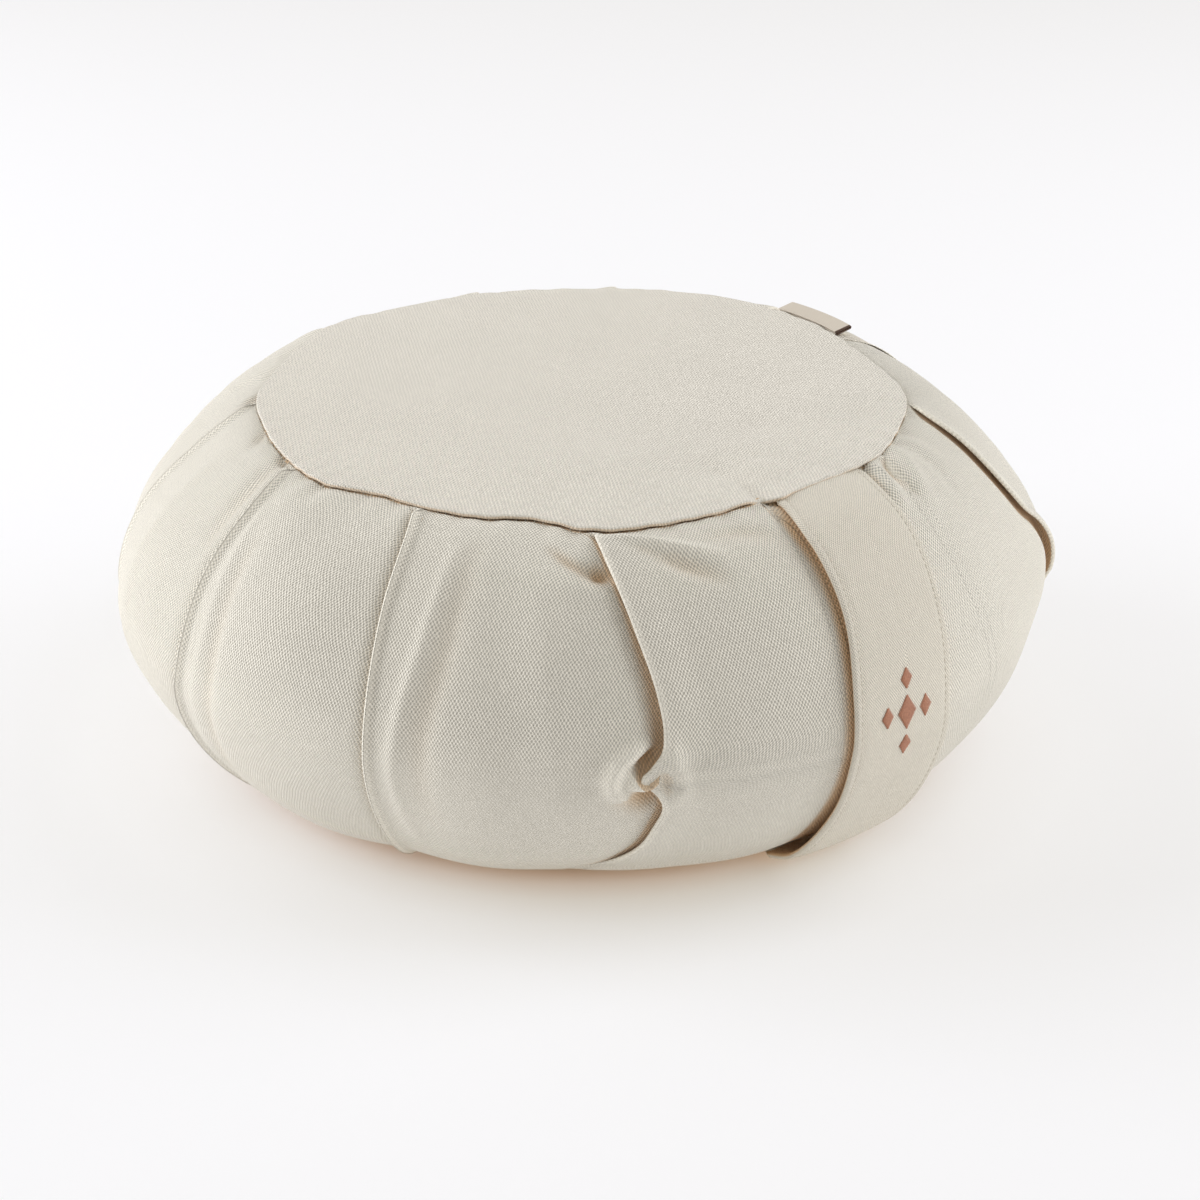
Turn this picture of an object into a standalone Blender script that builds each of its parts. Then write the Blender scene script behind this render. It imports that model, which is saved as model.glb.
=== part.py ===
"""Round pleated floor cushion (zafu): two cloth discs, a side strip in knife pleats, a carry strap.

The origin is the centre of the bottom panel on the floor, +Z is up, and the carry strap is at +X.
"""

from math import cos, pi, radians, sin

import bmesh
import bpy
import numpy as np
from mathutils import Vector

# ---------------------------------------------------------------- driving dimensions, in metres
SEAM_HEIGHT = 0.1485  # floor to the seam round the top panel
FOOT_RADIUS = 0.1380  # radius of the bottom seam
GIRTH_RADIUS = 0.1965  # widest radius of the stuffed side, before the panels swell
GIRTH_HEIGHT = 0.0740  # height of the widest ring
UPPER_FULLNESS = 1.73  # superellipse exponent above the girth: 2 is an ellipse, less is flatter
LOWER_FULLNESS = 1.62  # the same below the girth
CLOTH = 0.0018  # thickness of a canvas panel with its seam allowance
GAP = 0.0003  # clearance between sewn pieces
CROWN = 0.0030  # rise of the top panel at its centre

STRIP_LENGTH = 1.400  # length of the side strip before it is pleated
SLIT = 0.0007  # least air left inside a fold

STRAP_WIDTH = 0.047
STRAP_THICKNESS = 0.0025
STRAP_TOP = 0.004  # share of the side's drop where the strap comes out of the top seam
STRAP_FOOT = 0.972  # share of the drop where it goes into the bottom seam
STRAP_BED = 0.0030  # how far the side is pressed in under the strap's two ends
STRAP_LAY = (  # share of the side's drop, direction of the strap's middle, clearance to the side
    {"drop": 0.00, "turn": 4.5, "clear": 0.0004},
    {"drop": 0.15, "turn": 3.0, "clear": 0.0034},
    {"drop": 0.50, "turn": 0.8, "clear": 0.0056},
    {"drop": 0.80, "turn": 0.6, "clear": 0.0074},
    {"drop": 0.90, "turn": 0.8, "clear": 0.0042},
    {"drop": 1.00, "turn": 1.2, "clear": 0.0005},
)

LABEL_FROM, LABEL_TO = 87.0, 103.5  # directions of its two ends in the top seam
LABEL_REACH = 0.0088
LABEL_CLOTH = 0.0006
LABEL_TILT = 10.0
LABEL_STEPS = 7  # stations along the seam

# One row a fold, counter-clockwise from above. turn, girth, foot: where the folded edge lies at the
# top seam, the girth and the bottom seam, in degrees. reach: share of the drop over which the
# fold shows. corner, between: radius of the top seam at the fold and halfway to the next one.
# proud: how far the edge stands out. sink: how deep the cloth dips under it. nose: thickness of
# the folded edge. puff: swell of the panel after it.
FOLD_COLUMNS = (
    "turn", "girth", "foot", "reach", "corner", "between", "proud", "sink", "nose", "puff",
)
FOLD_ROWS = (
    (-141.0, -138.0, -140.0, 1.0, 0.1331, 0.1345, 0.0014, 0.0022, 0.0020, 0.0020),
    (-123.5, -117.0, -120.0, 1.0, 0.1360, 0.1355, 0.0012, 0.0022, 0.0020, 0.0030),
    (-93.0, -90.0, -92.0, 1.0, 0.1385, 0.1410, 0.0015, 0.0026, 0.0022, 0.0034),
    (-64.5, -61.7, -65.5, 1.0, 0.1360, 0.1375, 0.0016, 0.0030, 0.0022, 0.0044),
    (-36.0, -28.2, -35.0, 1.0, 0.1465, 0.1434, 0.0020, 0.0090, 0.0026, 0.0015),
    (-5.5, -6.0, -7.0, 0.2, 0.1325, 0.1362, 0.0008, 0.0024, 0.0018, 0.0000),
    (23.0, 18.0, 20.0, 0.3, 0.1380, 0.1362, 0.0008, 0.0026, 0.0018, 0.0000),
    (48.0, 43.0, 42.0, 1.0, 0.1367, 0.1320, 0.0056, 0.0040, 0.0050, 0.0030),
    (78.0, 79.0, 77.0, 1.0, 0.1320, 0.1365, 0.0018, 0.0040, 0.0024, 0.0030),
    (106.0, 110.0, 107.0, 1.0, 0.1417, 0.1432, 0.0014, 0.0028, 0.0022, 0.0034),
    (136.0, 141.0, 138.0, 1.0, 0.1449, 0.1354, 0.0020, 0.0052, 0.0024, 0.0036),
    (161.5, 166.0, 163.0, 1.0, 0.1409, 0.1388, 0.0014, 0.0026, 0.0022, 0.0030),
    (194.5, 198.0, 196.0, 1.0, 0.1413, 0.1372, 0.0014, 0.0026, 0.0022, 0.0026),
)
FOLDS = tuple(dict(zip(FOLD_COLUMNS, row)) for row in FOLD_ROWS)

# Pits that a tight fold pulls into the cloth beside it: place on the side, radius and depth
DIMPLES = (
    {"turn": -42.5, "drop": 0.15, "radius": 0.010, "depth": 0.0050},
    {"turn": -34.0, "drop": 0.60, "radius": 0.013, "depth": 0.0065},
)

SIDE_ROWS = 21  # rows of faces from seam to seam
PANEL_STEPS = (0.08, 0.2, 0.36, 0.54, 0.72, 0.86, 0.95)  # columns across a panel's open part
NOSE_STEPS = (-90.0, -30.0, 30.0, 90.0)  # angles round a folded edge
DISC_SEGMENTS = 78
FLAP_FALL = 0.030  # width over which a folded edge settles back to the panel
SINK_WIDTH = 0.034  # width over which the cloth dips towards a fold
FLAT_SPREAD = 0.0035  # half the width that a fold's columns take where the fold is closed
CORE_RADIUS = 0.112  # ring inside the filling, from which the cloth is lifted


# ---------------------------------------------------------------- shape of the stuffed side
def smooth(share):
    """Eases a share of 0 to 1, held at its ends."""
    share = np.clip(share, 0.0, 1.0)
    return share * share * (3.0 - 2.0 * share)


def seam_radius(turn):
    """Radius of the top seam at a direction in degrees: corners at the folds, eased between."""
    stops, radii = [], []
    for index, fold in enumerate(FOLDS):
        after = FOLDS[(index + 1) % len(FOLDS)]["turn"]
        span = (after - fold["turn"]) % 360.0
        stops += [fold["turn"], fold["turn"] + span / 2.0]
        radii += [fold["corner"], fold["between"]]
    stops = np.array(stops + [stops[0] + 360.0])
    radii = np.array(radii + [radii[0]])
    turned = (np.asarray(turn, float) - stops[0]) % 360.0 + stops[0]
    index = np.clip(np.searchsorted(stops, turned, side="right") - 1, 0, len(stops) - 2)
    share = smooth((turned - stops[index]) / (stops[index + 1] - stops[index]))
    return radii[index] + (radii[index + 1] - radii[index]) * share


def plain_profile(turn, drop):
    """Radius and height of the side before any fold: drop 0 is the top seam, 1 the bottom seam."""
    angle = (0.5 - drop) * pi
    out = np.clip(np.cos(angle), 0.0, 1.0)
    rise = np.clip(np.abs(np.sin(angle)), 0.0, 1.0)
    foot = CLOTH + GAP
    top = seam_radius(turn)
    upper = drop <= 0.5
    power = np.where(upper, 2.0 / UPPER_FULLNESS, 2.0 / LOWER_FULLNESS)
    inner = np.where(upper, top, FOOT_RADIUS)
    radius = inner + (GIRTH_RADIUS - inner) * out**power
    above = GIRTH_HEIGHT + (SEAM_HEIGHT - GIRTH_HEIGHT) * rise**power
    below = GIRTH_HEIGHT - (GIRTH_HEIGHT - foot) * rise**power
    return radius, np.where(upper, above, below)


def strap_lay(drop, column):
    """The strap's direction or clearance at a share of the drop, eased between the table's rows."""
    stops = np.array([row["drop"] for row in STRAP_LAY])
    values = np.array([row[column] for row in STRAP_LAY])
    index = np.clip(np.searchsorted(stops, drop, side="right") - 1, 0, len(stops) - 2)
    share = smooth((drop - stops[index]) / (stops[index + 1] - stops[index]))
    return values[index] + (values[index + 1] - values[index]) * share


def strap_bed(turn, drop):
    """Depth of the shallow bed that the strap's two sewn ends press into the side."""
    radius, _ = plain_profile(turn, drop)
    aside = (turn - strap_lay(drop, "turn") + 180.0) % 360.0 - 180.0
    aside = np.abs(np.radians(aside)) * radius
    across = smooth((STRAP_WIDTH / 2 + 0.006 - aside) / 0.005)
    ends = np.maximum(smooth((0.16 - drop) / 0.12), smooth((drop - 0.82) / 0.10))
    return STRAP_BED * across * ends


def dimple_depth(turn, drop):
    radius, _ = plain_profile(turn, drop)
    depth = np.zeros(np.broadcast(turn, drop).shape)
    girth = 0.20  # seam to seam along the side
    for pit in DIMPLES:
        aside = np.radians((turn - pit["turn"] + 180.0) % 360.0 - 180.0) * radius
        along = (drop - pit["drop"]) * girth
        depth = depth + pit["depth"] * np.exp(-(aside**2 + along**2) / pit["radius"] ** 2)
    return depth


def side_point(turn, drop, lift):
    """A point of the side, lifted away from the filling's core ring, for arrays of equal shape."""
    radius, height = plain_profile(turn, drop)
    out = radius - CORE_RADIUS
    rise = height - GIRTH_HEIGHT
    length = np.sqrt(out**2 + rise**2)
    lift = lift - strap_bed(turn, drop)
    radius = radius + lift * out / length
    height = np.maximum(height + lift * rise / length, CLOTH + GAP)
    angle = np.radians(turn)
    return np.stack([radius * np.cos(angle), radius * np.sin(angle), height], axis=-1)


def fold_edge(fold, drop):
    """Direction of a folded edge in degrees: from the top seam, bowed at the girth, to the foot."""
    straight = fold["turn"] + (fold["foot"] - fold["turn"]) * drop
    bow = fold["girth"] - (fold["turn"] + fold["foot"]) / 2.0
    return straight + bow * np.sin(pi * drop)


def lap_width(drop):
    """Cloth tucked under each fold: the strip's spare length shared by the folds."""
    radius, _ = plain_profile(0.0, drop)
    return (STRIP_LENGTH - 2.0 * pi * radius) / (2.0 * len(FOLDS))


def fold_shows(fold, drop):
    """How far a fold is open at a row: 0 in both seams and below its reach, 1 between."""
    ends = smooth(drop / 0.05) * smooth((1.0 - drop) / 0.05)
    fade = 1.0 - smooth((drop - fold["reach"]) / 0.08) if fold["reach"] < 1.0 else 1.0
    return float(ends * fade)


def open_lift(fold, after, along, width, drop):
    """Lift of a panel's open surface at a distance from its own folded edge."""
    flap = fold["proud"] * (1.0 - smooth(along / FLAP_FALL)) * fold_shows(fold, drop)
    dip = after["sink"] * smooth(1.0 - (width - along) / SINK_WIDTH) * fold_shows(after, drop)
    swell = fold["puff"] * np.sin(pi * np.clip(along / width, 0.0, 1.0)) * np.sin(pi * drop)
    return float(flap - dip + swell)


def fold_section(fold, drop):
    """Distance from the folded edge and lift, from the cloth under it, in, back and round."""
    lap = float(lap_width(drop))
    floor = -fold["sink"]
    roof = fold["proud"] - fold["nose"]
    inner = floor + SLIT
    round_up = fold["nose"] / 2.0
    path = [(0.0, floor), (0.55 * lap, floor), (lap, floor + 0.5 * SLIT)]
    for share in (0.75, 0.35):
        path.append((share * lap + round_up * (1.0 - share), roof + (inner - roof) * share**1.5))
    for angle in NOSE_STEPS:
        turned = radians(angle)
        lift = fold["proud"] - round_up + round_up * sin(turned)
        path.append((round_up * (1.0 - cos(turned)), lift))
    shown = fold_shows(fold, drop)
    flat = np.linspace(-FLAT_SPREAD, FLAT_SPREAD, len(path))
    return [(x * shown + f * (1.0 - shown), y * shown) for (x, y), f in zip(path, flat)]


def panel_section(index, drop):
    """One row of a panel: its open cloth, then the fold of the next panel over it."""
    fold = FOLDS[index]
    after = FOLDS[(index + 1) % len(FOLDS)]
    start = fold_edge(fold, drop)
    stop = fold_edge(after, drop)
    stop += 360.0 if stop < start else 0.0
    degree = radians(1.0) * float(plain_profile(start, drop)[0])
    width = (stop - start) * degree
    first = fold_section(fold, drop)[-1][0]
    last = fold_section(after, drop)[0][0]
    columns = []
    for share in PANEL_STEPS:
        along = first + (width + last - first) * share
        columns.append((start + along / degree, open_lift(fold, after, along, width, drop)))
    for along, lift in fold_section(after, drop):
        columns.append((stop + along / degree, lift))
    return columns


def side_rows():
    """Shares of the drop for the rows: close together at both seams."""
    even = np.linspace(0.0, 1.0, SIDE_ROWS + 1)
    return 0.5 - 0.5 * np.cos(pi * even) * (1.0 - 0.35 * np.sin(pi * even) ** 2)


def side_section(drop):
    columns = [column for index in range(len(FOLDS)) for column in panel_section(index, drop)]
    turn = np.array([column[0] for column in columns])
    lift = np.array([column[1] for column in columns])
    drops = np.full(turn.shape, float(drop))
    return side_point(turn, drops, lift - dimple_depth(turn, drops))


# ---------------------------------------------------------------- Blender objects
def clear_scene():
    for item in list(bpy.data.objects):
        bpy.data.objects.remove(item, do_unlink=True)


def finish(name, colour, roughness):
    """A plain cloth finish for one kind of piece."""
    material = bpy.data.materials.new(name)
    material.use_nodes = True
    shader = material.node_tree.nodes["Principled BSDF"]
    shader.inputs["Base Color"].default_value = (*colour, 1.0)
    shader.inputs["Roughness"].default_value = roughness
    shader.inputs["Metallic"].default_value = 0.0
    return material


def add_object(name, mesh, material, collection):
    mesh.materials.append(material)
    mesh.shade_smooth()
    piece = bpy.data.objects.new(name, mesh)
    collection.objects.link(piece)
    return piece


def solidify(piece, thickness, offset):
    shell = piece.modifiers.new("cloth thickness", "SOLIDIFY")
    shell.thickness = thickness
    shell.offset = offset
    shell.use_even_offset = True


def crown_height(share):
    """Rise of the top panel over its seam: share 0 is its centre and 1 its edge."""
    return CROWN * (1.0 - share**2.6)


def ring(builder, turns, radii, heights):
    points = np.stack([radii * np.cos(turns), radii * np.sin(turns), heights], axis=-1)
    return [builder.verts.new(point) for point in points]


def bridge(builder, upper, lower):
    for index in range(len(upper)):
        after = (index + 1) % len(upper)
        builder.faces.new((upper[index], lower[index], lower[after], upper[after]))


def fan(builder, centre, rim):
    for index in range(len(rim)):
        builder.faces.new((centre, rim[index], rim[(index + 1) % len(rim)]))


def make_side_band(material, collection):
    """The filled body: the pleated strip's rows, closed over the filling under both discs."""
    builder = bmesh.new()
    rows = []
    for drop in side_rows():
        rows.append([builder.verts.new(point) for point in side_section(float(drop))])
    for upper, lower in zip(rows, rows[1:]):
        bridge(builder, upper, lower)
    edge = np.array([vert.co for vert in rows[0]])
    inward = rows[0]
    for share in (0.93, 0.6):
        points = edge * share
        points[:, 2] = SEAM_HEIGHT + crown_height(share)
        lid = [builder.verts.new(point) for point in points]
        bridge(builder, lid, inward)
        inward = lid
    fan(builder, builder.verts.new((0.0, 0.0, SEAM_HEIGHT + CROWN)), inward)
    fan(builder, builder.verts.new((0.0, 0.0, CLOTH + GAP)), rows[-1][::-1])
    bmesh.ops.recalc_face_normals(builder, faces=builder.faces)
    mesh = bpy.data.meshes.new("side_band")
    builder.to_mesh(mesh)
    builder.free()
    return add_object("side_band", mesh, material, collection)


def make_top_panel(material, collection):
    """A crowned open disc with the seam's outline, then the cloth's thickness."""
    builder = bmesh.new()
    degrees = np.linspace(0.0, 360.0, DISC_SEGMENTS, endpoint=False)
    turns = np.radians(degrees)
    outline = seam_radius(degrees) + 0.0006
    base = SEAM_HEIGHT + GAP
    inward = None
    for share in (1.0, 0.97, 0.84, 0.55, 0.25):
        heights = np.full(turns.shape, base + crown_height(share))
        loop = ring(builder, turns, outline * share, heights)
        if inward:
            bridge(builder, loop, inward)
        inward = loop
    fan(builder, builder.verts.new((0.0, 0.0, base + CROWN)), inward)
    bmesh.ops.recalc_face_normals(builder, faces=builder.faces)
    mesh = bpy.data.meshes.new("top_panel")
    builder.to_mesh(mesh)
    builder.free()
    piece = add_object("top_panel", mesh, material, collection)
    solidify(piece, CLOTH, 1.0)
    return piece


def make_bottom_panel(material, collection):
    """A flat disc on the floor, just inside the bottom seam."""
    builder = bmesh.new()
    radius = FOOT_RADIUS - 0.0005
    bmesh.ops.create_cone(
        builder,
        cap_ends=True,
        segments=DISC_SEGMENTS,
        radius1=radius,
        radius2=radius,
        depth=CLOTH,
    )
    bmesh.ops.translate(builder, vec=Vector((0.0, 0.0, CLOTH / 2)), verts=builder.verts)
    mesh = bpy.data.meshes.new("bottom_panel")
    builder.to_mesh(mesh)
    builder.free()
    return add_object("bottom_panel", mesh, material, collection)


def make_strap(material, collection):
    """A flat strap that follows the side's profile at +X, a hand's gap away from it."""
    builder = bmesh.new()
    previous = None
    for drop in np.linspace(STRAP_TOP, STRAP_FOOT, 30):
        turn = float(strap_lay(drop, "turn"))
        lift = float(strap_lay(drop, "clear"))
        middle = side_point(np.full(1, turn), np.full(1, drop), np.full(1, lift))[0]
        aside = Vector((-sin(radians(turn)), cos(radians(turn)), 0.0))
        outward = Vector((cos(radians(turn)), sin(radians(turn)), 0.0))
        loop = []
        for across in np.linspace(-0.5, 0.5, 5):
            arch = 0.0012 * (1.0 - (2.0 * across) ** 2)
            loop.append(
                builder.verts.new(Vector(middle) + outward * arch + aside * across * STRAP_WIDTH)
            )
        if previous:
            for index in range(len(loop) - 1):
                corners = (previous[index], loop[index], loop[index + 1], previous[index + 1])
                builder.faces.new(corners)
        previous = loop
    mesh = bpy.data.meshes.new("carry_strap")
    builder.to_mesh(mesh)
    builder.free()
    piece = add_object("carry_strap", mesh, material, collection)
    solidify(piece, STRAP_THICKNESS, 1.0)
    return piece


def label_section():
    """The tape's path from the seam out, round its fold and back: reach and rise."""
    layer = LABEL_CLOTH / 2 + GAP
    straight = LABEL_REACH - layer
    under = [(0.0, -layer), (straight * 0.5, -layer), (straight, -layer)]
    fold = [(straight + layer * cos(radians(a)), layer * sin(radians(a))) for a in (-45, 0, 45)]
    over = [(reach, -rise) for reach, rise in reversed(under)]
    return under + fold + over


def seam_spot(turn, outside):
    """A point just outside the top seam, at the top panel's level."""
    radius = float(seam_radius(turn)) + outside
    return Vector((radius * cos(radians(turn)), radius * sin(radians(turn)), SEAM_HEIGHT))


def make_label(material, collection):
    """A short tape folded in two, its open end in the top seam and its fold outwards."""
    along = seam_spot(LABEL_TO, 0.0) - seam_spot(LABEL_FROM, 0.0)
    outward = Vector((along.y, -along.x, 0.0)).normalized()
    if outward.dot(seam_spot(LABEL_FROM, 0.0)) < 0.0:
        outward = -outward
    tilt = radians(LABEL_TILT)
    builder = bmesh.new()
    previous = None
    for turn in np.linspace(LABEL_FROM, LABEL_TO, LABEL_STEPS):
        seat = seam_spot(float(turn), 0.0013) + Vector((0.0, 0.0, 0.0016))
        row = []
        for reach, rise in label_section():
            out = reach * cos(tilt) - rise * sin(tilt)
            up = reach * sin(tilt) + rise * cos(tilt)
            row.append(builder.verts.new(seat + outward * out + Vector((0.0, 0.0, up))))
        if previous:
            for index in range(len(row) - 1):
                corners = (previous[index], previous[index + 1], row[index + 1], row[index])
                builder.faces.new(corners)
        previous = row
    mesh = bpy.data.meshes.new("label_tab")
    builder.to_mesh(mesh)
    builder.free()
    piece = add_object("label_tab", mesh, material, collection)
    solidify(piece, LABEL_CLOTH, 0.0)
    return piece


def main():
    clear_scene()
    collection = bpy.data.collections.new("zafu_cushion")
    bpy.context.scene.collection.children.link(collection)
    canvas = finish("natural canvas", (0.76, 0.72, 0.64), 0.9)
    webbing = finish("strap canvas", (0.74, 0.68, 0.59), 0.88)
    tape = finish("woven tape", (0.66, 0.58, 0.48), 0.7)
    make_side_band(canvas, collection)
    make_top_panel(canvas, collection)
    make_bottom_panel(canvas, collection)
    make_strap(webbing, collection)
    make_label(tape, collection)


main()
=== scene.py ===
# %% [markdown]
# # A zafu, cell by cell
# A zafu is a round floor cushion. Its maker cuts two discs and one long strip of canvas, lays the
# strip in knife pleats until it is as long as a disc's rim, sews it between the discs and stuffs
# the bag. Here a strap and a small folded tape are caught in the top seam as well. The plain
# solids of these pieces come from the frame. Each is replaced by cloth with its folds and weave.

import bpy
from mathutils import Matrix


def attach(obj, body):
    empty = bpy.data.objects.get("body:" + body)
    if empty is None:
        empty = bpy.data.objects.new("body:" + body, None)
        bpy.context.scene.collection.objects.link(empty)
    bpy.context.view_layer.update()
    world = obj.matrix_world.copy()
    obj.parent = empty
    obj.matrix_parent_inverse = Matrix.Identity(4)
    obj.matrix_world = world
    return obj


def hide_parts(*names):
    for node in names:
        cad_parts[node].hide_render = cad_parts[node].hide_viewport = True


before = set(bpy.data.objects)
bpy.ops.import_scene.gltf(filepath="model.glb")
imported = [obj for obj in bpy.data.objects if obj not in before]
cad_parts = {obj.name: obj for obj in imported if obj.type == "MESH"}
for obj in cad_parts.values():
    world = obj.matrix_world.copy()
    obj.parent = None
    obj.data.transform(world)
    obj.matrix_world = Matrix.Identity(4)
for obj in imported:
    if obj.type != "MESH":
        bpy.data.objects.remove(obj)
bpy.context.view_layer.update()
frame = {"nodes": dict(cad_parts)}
print("nodes:", sorted(frame["nodes"]))

# %% The other modules
from math import cos, pi, radians, sin

import bmesh
import bpy
import numpy as np
from mathutils import Quaternion, Vector

rng = np.random.default_rng(1207)


def add_object(name, data):
    """An object with this data, linked into the scene."""
    made = bpy.data.objects.new(name, data)
    bpy.context.scene.collection.objects.link(made)
    return made


# %% [markdown]
# ## The camera, the floor and the light
# The camera stands 27 degrees above the floor, turned 53 degrees from the strap's side, with a
# long lens, so the far rim looks almost as wide as the near one. It is aimed a little to the side
# of the cushion's middle instead of shifting the lens, so other views stay centred too.

# %% The camera
CAMERA_TURN, CAMERA_RISE = radians(53.0), radians(27.0)
CAMERA_ROLL = radians(0.16)
CAMERA_REACH = 1.258  # metres from the middle of the bottom panel
AIM = Vector((0.0049, 0.0065, 0.0547))
LENS = 85.0

back = Vector((
    sin(CAMERA_TURN) * cos(CAMERA_RISE),
    -cos(CAMERA_TURN) * cos(CAMERA_RISE),
    sin(CAMERA_RISE),
))
camera_data = bpy.data.cameras.new("camera")
camera_data.lens = LENS
camera_data.sensor_width = 36.0
camera = add_object("camera", camera_data)
camera.location = back * CAMERA_REACH
camera.rotation_mode = "QUATERNION"
facing = (AIM - camera.location).to_track_quat("-Z", "Y")
camera.rotation_quaternion = facing @ Quaternion((0, 0, 1), CAMERA_ROLL)
bpy.context.scene.camera = camera
print("camera at", tuple(round(x, 3) for x in camera.location))

# %% [markdown]
# Shader trees are easier to read as sums. A small class wraps a socket, so that an expression
# such as `1 - mask * 0.3` adds the Math nodes by itself. Colours and vectors have nodes of their
# own, because a Math node would turn them grey.


# %% Shader maths on wrapped sockets
class Sock:
    """One output socket of a node tree, with arithmetic. Without an output it only adds nodes."""

    def __init__(self, tree, output=None):
        self.tree = tree
        self.output = output

    def node(self, kind, settings=None, output=0, **inputs):
        """Adds a node, its settings first and then its sockets, and wraps one of its outputs."""
        made = self.tree.nodes.new(kind)
        for name, value in (settings or {}).items():
            if name == "stops":
                set_stops(made.color_ramp.elements, value)
            else:
                setattr(made, name, value)
        for name, value in inputs.items():
            key = int(name[1:]) if name[1:].isdigit() else name.replace("_", " ")
            if isinstance(value, Sock):
                self.tree.links.new(value.output, made.inputs[key])
            else:
                made.inputs[key].default_value = value
        return Sock(self.tree, made.outputs[output])

    def beside(self, output):
        """Another output of the same node."""
        return Sock(self.tree, self.output.node.outputs[output])

    def feed(self, node, name):
        self.tree.links.new(self.output, node.inputs[name])

    def math(self, operation, other=0.0):
        return self.node("ShaderNodeMath", {"operation": operation}, i0=self, i1=other)

    def __add__(self, other):
        return self.math("ADD", other)

    def __mul__(self, other):
        return self.math("MULTIPLY", other)

    def __sub__(self, other):
        return self.math("SUBTRACT", other)

    def __truediv__(self, other):
        return self.math("DIVIDE", other)

    def __rsub__(self, other):
        return (self * -1.0) + other

    __radd__ = __add__
    __rmul__ = __mul__

    def sine(self):
        return self.math("SINE")

    def clamp(self):
        return self.math("MAXIMUM", 0.0).math("MINIMUM", 1.0)

    def ramp(self, low, high):
        """0 below low, 1 above high, eased between."""
        settings = {"interpolation_type": "SMOOTHSTEP", "clamp": True}
        return self.node("ShaderNodeMapRange", settings, i0=self, i1=low, i2=high)


def set_stops(marks, stops):
    """Gives a colour ramp rows of (place, colour), the first at 0 and the last at 1."""
    for place, _ in stops[1:-1]:
        marks.new(place)
    for mark, (_, colour) in zip(marks, stops):
        mark.color = colour


# %% [markdown]
# All the materials here are Principled ones. Cloth and thread shine little, so their highlights
# are weak, and a little sheen stands for the fine hairs that catch the light at a low angle.

# %% What the materials share
HIGHLIGHT = 0.25
SHEEN_ROUGHNESS = 0.5


def mix_colour(share, first, second):
    """A Mix node on colours: first where share is 0, second where it is 1."""
    settings = {"data_type": "RGBA"}
    return share.node("ShaderNodeMix", settings, output=2, i0=share, i6=first, i7=second)


def noise(place, scale, detail=2.0):
    return place.node("ShaderNodeTexNoise", output="Fac", Vector=place, Scale=scale, Detail=detail)


def bumped(height, distance):
    return height.node("ShaderNodeBump", Height=height, Distance=distance, Strength=1.0)


def new_material(name, roughness, sheen=0.0):
    """A Principled material and its shader, with the values that are the same all over."""
    material = bpy.data.materials.new(name)
    material.use_nodes = True
    shader = material.node_tree.nodes["Principled BSDF"]
    shader.inputs["Roughness"].default_value = roughness
    shader.inputs["Specular IOR Level"].default_value = HIGHLIGHT
    shader.inputs["Sheen Weight"].default_value = sheen
    shader.inputs["Sheen Roughness"].default_value = SHEEN_ROUGHNESS
    return material, shader


def cloth_place(material):
    """The place on the cloth from a piece's UV map, and its two lengths in metres."""
    place = Sock(material.node_tree).node("ShaderNodeUVMap", {"uv_map": "weave"})
    along = place.node("ShaderNodeSeparateXYZ", i0=place)
    return place, along, along.beside(1)


# %% [markdown]
# The cushion stands on a pale floor that runs out of view. The photograph has hardly any shadow on
# it, as on a lit table, so the floor glows a little by itself. The glow fades close to the foot,
# which leaves the thin, soft shadow that the photograph does have.

# %% The floor
FLOOR_DROP = 0.0002  # keeps the floor just under the bottom panel
FLOOR_CORNERS = [(-9, -9, 0), (9, -9, 0), (9, 9, 0), (-9, 9, 0)]
GLOW_STOPS = (  # distance from the middle, then the glow: little of it reaches in beside the foot, a painted shadow
    (0.134, 0.12, 0.065, 0.020),
    (0.142, 0.23, 0.155, 0.095),
    (0.150, 0.31, 0.24, 0.170),
    (0.162, 0.355, 0.315, 0.245),
    (0.180, 0.388, 0.360, 0.294),
    (0.215, 0.418, 0.394, 0.330),
)
glow_from, glow_to = GLOW_STOPS[0][0], GLOW_STOPS[-1][0]
glow_marks = [
    ((reach - glow_from) / (glow_to - glow_from), (red, green, blue, 1.0))
    for reach, red, green, blue in GLOW_STOPS
]
mesh = bpy.data.meshes.new("floor")
mesh.from_pydata(FLOOR_CORNERS, [], [(0, 1, 2, 3)])
floor = add_object("floor", mesh)
floor.location.z = -FLOOR_DROP
paper, paper_shader = new_material("white paper floor", 0.9)
paper_shader.inputs["Base Color"].default_value = (0.54, 0.56, 0.64, 1.0)
paper_shader.inputs["Emission Strength"].default_value = 1.0
# The floor's glow is painted light, and its darker, warmer fade beside the foot is a painted
# shadow.
where = Sock(paper.node_tree).node("ShaderNodeNewGeometry", output="Position")
middle = where.node("ShaderNodeVectorMath", {"operation": "LENGTH"}, output="Value", i0=where)
outwards = middle.node("ShaderNodeMapRange", i0=middle, i1=glow_from, i2=glow_to)
floor_glow = outwards.node("ShaderNodeValToRGB", {"stops": glow_marks}, Fac=outwards)
floor_glow.feed(paper_shader, "Emission Color")
mesh.materials.append(paper)
print("the floor's glow grows from", glow_from, "to", glow_to, "m from the middle")

# %% [markdown]
# The light is even: a white sky, and wide soft lamps that stand low on both sides. The left one is
# the stronger and draws the folds.

# %% Sky and lamps
SKY_COLOUR, SKY_STRENGTH = (1.0, 0.985, 0.95, 1.0), 0.48
world = bpy.data.worlds.new("sky")
world.use_nodes = True
sky = world.node_tree.nodes["Background"]
sky.inputs["Color"].default_value = SKY_COLOUR
sky.inputs["Strength"].default_value = SKY_STRENGTH
bpy.context.scene.world = world

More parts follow.
